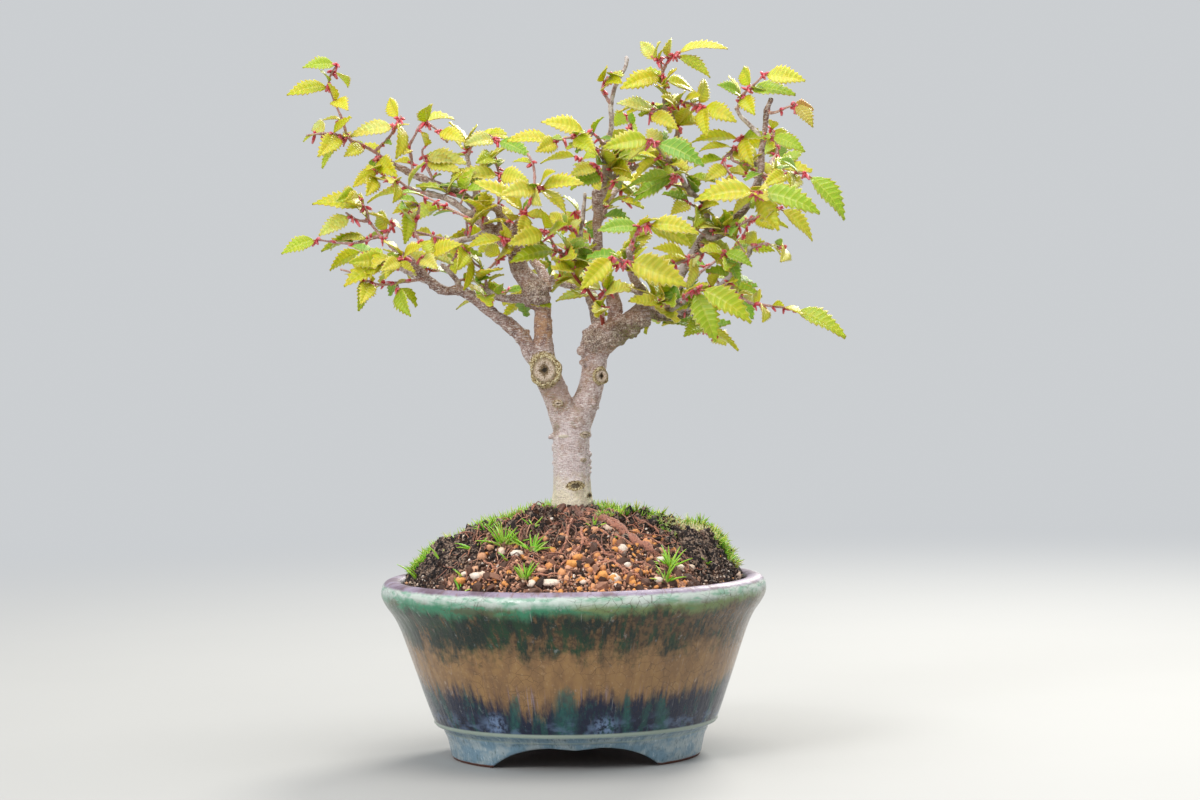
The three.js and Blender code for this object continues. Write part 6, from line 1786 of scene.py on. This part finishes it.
def leaf_finish():
    finish = Finish("leaf")
    mix, step = finish.mix, finish.step
    tone = finish.attribute("tone")
    across, row, _ = finish.split(finish.node("ShaderNodeUVMap", {"uv_map": "blade"}))
    side = abs(across - 0.5) * 2
    ripple = finish.math("PINGPONG", row * 20 / 2, 0.5)
    mottle = finish.noise(finish.place, 0.35, 3.0)
    fine = finish.noise(finish.place, 2.2, 4.0, 0.6)
    veins = finish.math("MAXIMUM", step(ripple, 0.11, 0.03) * step(side, 1.0, 0.85), step(side, 0.1, 0.03))
    edge = step(side + (fine - 0.5) * 0.3, 0.84, 1.0)
    colour = finish.ramp(
        tone, (0.0, (196, 214, 148)), (0.2, (208, 204, 60)), (0.4, (190, 188, 14)), (0.6, (156, 178, 30)),
        (0.78, (112, 158, 46)), (0.88, (160, 134, 44)), (1.0, (190, 104, 62)))
    colour = finish.layered(
        colour, (step(mottle, 0.42, 0.62) * step(tone, 0.7, 0.4) * 0.5, (208, 170, 16)),
        # The pale veins: partly the veins' own colour, partly a painted highlight as on lit leaves
        (step(ripple, 0.16, 0.5) * 0.3, (112, 146, 16)), (veins * 0.28, (218, 212, 100)),
        # The margin: an orange tint in places, and in others a pale painted highlight as on lit edges
        (edge * 0.6, mix(step(mottle, 0.44, 0.54), (214, 140, 30), (238, 230, 156))),
        (step(row, 0.9, 0.94), (176, 110, 78)))
    height = step(ripple, 0.0, 0.3) * 0.7 + fine * 0.3
    return finish.surface(colour, 0.42, ((height, 0.1),), Subsurface_Weight=0.3, Subsurface_Scale=0.0012,
                          Subsurface_Radius=(0.7, 1.0, 0.25), Specular_IOR_Level=0.45)


def stem_finish():
    finish = Finish("young_stem")
    mottle = finish.noise(finish.place, 0.7, 4.0)
    dots = finish.noise(finish.place, 2.6, 2.0)
    colour = finish.layered(
        finish.ramp(finish.attribute("tone"), (0.0, (178, 138, 134)), (0.6, (192, 140, 132)),
                    (1.0, (202, 158, 138))),
        (finish.step(mottle, 0.45, 0.65) * 0.6, (132, 88, 82)),
        (finish.step(dots, 0.54, 0.64) * 0.75, (228, 212, 208)))
    return finish.surface(colour, 0.6, ((dots, 0.05), (mottle, 0.1)))


def scale_finish():
    finish = Finish("bud_scale")
    along, fine = finish.attribute("pale"), finish.noise(finish.place, 2.0, 3.0)
    colour = finish.ramp(along, (0.0, (168, 54, 56)), (0.5, (214, 66, 82)), (1.0, (238, 140, 148)))
    colour = finish.mix(finish.step(fine, 0.5, 0.7) * 0.4, colour, (146, 32, 44))
    return finish.surface(colour, 0.5, ((fine, 0.04),), Subsurface_Weight=0.2, Subsurface_Scale=0.001)


SCALE_SHARES = (0, 0.35, 0.7, 1)


def add_scales(heap, foot, step, draw, least=4, most=8):
    """The crimson scales round the foot of a leaf."""
    for _ in range(draw.randint(least, most)):
        aside = stray(draw, -1, 0.8)
        way = (step.normalized() * draw.uniform(0, 0.9) + aside).normalized()
        curl = stray(draw, -1.4, 0.4) * 0.6
        length, wide = draw.uniform(0.8, 2.0), draw.uniform(0.3, 0.56)
        path = [(foot + (way * t + curl * t * t) * length, wide * math.sin(math.pi * (0.2 + 0.6 * t)))
                for t in SCALE_SHARES]
        along = [t for t in SCALE_SHARES for _ in range(4)] + [0.0, 1.0]
        tube(heap, path, 4, 2, pale=along, round_end=False)


def small_leaf_form(seed):
    """A young leaf one millimetre long, of a few faces: toothed, folded and closed."""
    draw = random.Random(seed)
    halves = (0.02, 0.17, 0.2, 0.26, 0.22, 0.25, 0.17, 0.18, 0.09, 0.1, 0.01)
    shares = [0.04 + 0.96 * i / (len(halves) - 1) for i in range(len(halves))]
    bow, fold = draw.uniform(-0.08, 0.08), draw.uniform(0.15, 0.5)
    points, marks, thin = [], [], 0.012
    for lift in (thin, -thin):
        for i, (share, half) in enumerate(zip(shares, halves)):
            for side in (-1, 0, 1):
                along = min(1.0, share + (0.09 if i % 2 else 0.03) * abs(side) * (0 < i < 10))
                z = 0.3 * along * (1 - along) + fold * half * abs(side) + lift
                points.append(Vector((along, side * half + bow * along * (1 - along) * 4, z)) * MM)
                marks.append(((side + 1) / 2, 0.85 * i / 10))
    faces, size = [], 3 * len(shares)
    for i in range(len(shares) - 1):
        for k in (0, 1):
            a = 3 * i + k
            faces.append([a, a + 3, a + 4, a + 1])
            faces.append([size + a + 1, size + a + 4, size + a + 3, size + a])
    rim = [0, 1, 2, *range(5, size, 3), size - 2, *range(size - 3, 0, -3)]
    faces += [[a, b, size + b, size + a] for a, b in zip(rim, rim[1:] + rim[:1])]
    corners = [marks[i] for face in faces for i in face]
    return form_mesh("small_leaf", points, faces, [0.0] * len(points), corners)


def leaf_spray(tree, name, forms, finish, leaves):
    """Leaves as one mesh, each from its foot, its turn, its length, its form and its shade."""
    points = bpy.data.meshes.new("leaf_feet")
    points.from_pydata([tuple(foot * MM) for foot, _, _, _, _ in leaves], [], [])
    turns = [value for _, turn, _, _, _ in leaves for value in turn]
    points.attributes.new("turn", "FLOAT_VECTOR", "POINT").data.foreach_set("vector", turns)
    for label, kind, place in (("length", "FLOAT", 2), ("pick", "INT", 3), ("shade", "FLOAT", 4)):
        values = [leaf[place] for leaf in leaves]
        points.attributes.new(label, kind, "POINT").data.foreach_set("value", values)
    return grown(tree, points, name, Forms=forms, Finish=finish, Size=1.0)


def leaf_turn(step, angle, front):
    along, normal, across = blade_frame(step, angle, front)
    return Matrix((along, across, normal)).transposed().to_euler()


def young_leaves(places, draw, least=4.2, most=8.8, lowest=0.0, highest=0.8):
    """Small leaves that stand off a stem at some of its points."""
    leaves = []
    for foot, way in places:
        aside = stray(draw, -0.65, 0.4)
        step = (way * draw.uniform(0.2, 1.0) + aside).normalized()
        if abs(step.z) > 0.9:
            step = (step + way.cross(Vector((0, 0, 1)))).normalized()
        turn = leaf_turn(step, draw.uniform(0, 0.9), Vector((0, -1, 0)))
        length, form = draw.uniform(least, most), draw.randrange(3)
        leaves.append((foot, turn, length, form, draw.uniform(lowest, highest)))
    return leaves


def along_path(path, draw, gap):
    """Points along a smooth path about a gap apart, each with the way on."""
    places, travelled = [], draw.uniform(0, gap)
    for (a, _), (b, _) in zip(path, path[1:]):
        travelled += (b - a).length
        if travelled > gap:
            places.append((b, (b - a).normalized()))
            travelled = draw.uniform(-0.4, 0.4) * gap
    return places


def buried(point, thick):
    return any((point - middle).length < radius + 0.3 for middle, radius in thick)


def add_side_shoots(heap, places, draw):
    """Short side shoots from a limb; gives the feet of their leaves."""
    feet = []
    for foot, way in places:
        aside = stray(draw, -0.1, 0.9)
        step = (way * draw.uniform(0, 0.8) + aside).normalized()
        bend = stray(draw, -0.4, 0.8) * 0.3
        length = draw.uniform(1.5, 6.5)
        path = [(foot + (step * t + bend * t * t) * length, 0.38 - 0.14 * t) for t in SCALE_SHARES]
        tube(heap, path, 5, 1, draw.uniform(0, 1))
        way = (path[-1][0] - path[-2][0]).normalized()
        feet += [(path[-1][0], way)] * 2 + [(path[-2][0], way)]
        add_scales(heap, path[-1][0], way, draw, 2, 4)
    return feet


def make_shoots():
    tree = leaf_tree()
    forms = form_group("leaf", [leaf_form(seed) for seed in (1, 2, 3, 4, 5)])
    small = form_group("small_leaf", [small_leaf_form(seed) for seed in (1, 2, 3)])
    finishes = [leaf_finish(), stem_finish(), scale_finish()]
    shoots = [(name, shoot, shoot["leaves"], Vector((0, -1, 0))) for name, shoot in SHOOTS.items()]
    shoots += [(name, shoot, ruled_leaves(shoot, 101 + 7 * i), Vector((0, 1, 0)))
               for i, (name, shoot) in enumerate(BACK_SHOOTS.items())]
    for number, (name, shoot, leaves, front) in enumerate(shoots):
        node = "leaves_" + name
        draw = random.Random(500 + number)
        found = leaf_steps(node, shoot, leaves, front)
        heap = Heap()
        spray = []
        for foot, step, angle in found:
            young = max(0.0, min(1.0, 14 - step.length) / 6)
            tone = draw.uniform(0.1, 0.78) - 0.15 * young
            if name.startswith(PALE_SHOOTS):
                tone *= 0.6
            if "red" in name:
                tone = draw.uniform(0.85, 1.0)
            turn, form = leaf_turn(step, angle, front), draw.randrange(5)
            spray.append((foot, turn, step.length, form, max(0.0, tone)))
        if spray:
            heap.take(leaf_spray(tree, name, forms, finishes[0], spray), 0)
        places = []
        for stem in shoot["stems"]:
            rows = [(*point, 0.55 - 0.24 * i / (len(stem) - 1)) for i, point in enumerate(stem)]
            path = smooth_path(rows, 0.8)
            knobbly = [(p, r * (0.86 + 0.3 * max(0.0, wobble(p, 0.7, 3)) + (0.3 if i % 5 == 2 else 0.0)))
                       for i, (p, r) in enumerate(path)]
            tube(heap, knobbly, 6, 1, draw.uniform(0, 1))
            places += along_path(path, draw, 5.2)
        if places and "red" not in name:
            back = {"least": 5.0, "most": 9.5, "lowest": 0.4} if name in BACK_SHOOTS else {}
            young = young_leaves(places, draw, **back)
            heap.take(leaf_spray(tree, name + "_young", small, finishes[0], young), 0)
        for foot, step, angle in found:
            add_scales(heap, foot, step, draw)
        for foot, way in places:
            add_scales(heap, foot, way, draw, 2, 4)
        dress(heap, "shoot_" + name, finishes, node)

    heap, draw, places = Heap(), random.Random(900), []
    thick = [(Vector(middle), radius) for middle, radius, _ in BURRS]
    for name, rows in LIMBS.items():
        if limb_joined(rows):
            thick += smooth_path(rows, 1.0)
        elif LICHEN.get(name, 0) < 0.8 and "stub" not in name:
            gap = 3.4 if sum(row[0] for row in rows) > 0 else 4.4
            places += along_path(smooth_path(rows, 0.9), draw, gap)
    places = [place for place in places if not buried(place[0], thick)]
    feet = add_side_shoots(heap, places, draw)
    spray = young_leaves(feet, draw, 5.5, 11.0, 0.1, 0.8)
    heap.take(leaf_spray(tree, "twig_leaves", small, finishes[0], spray), 0)
    dress(heap, "twig_leaves", finishes)
    drop_forms(forms)
    drop_forms(small)


# All the pieces

make_pot()
spread = scatter_tree()
make_soil(spread)
make_roots()
make_moss(spread)
make_grass()
make_wood()
make_shoots()

frame["nodes"]["drain_mesh"].data.materials.clear()
frame["nodes"]["drain_mesh"].data.materials.append(mesh_finish())
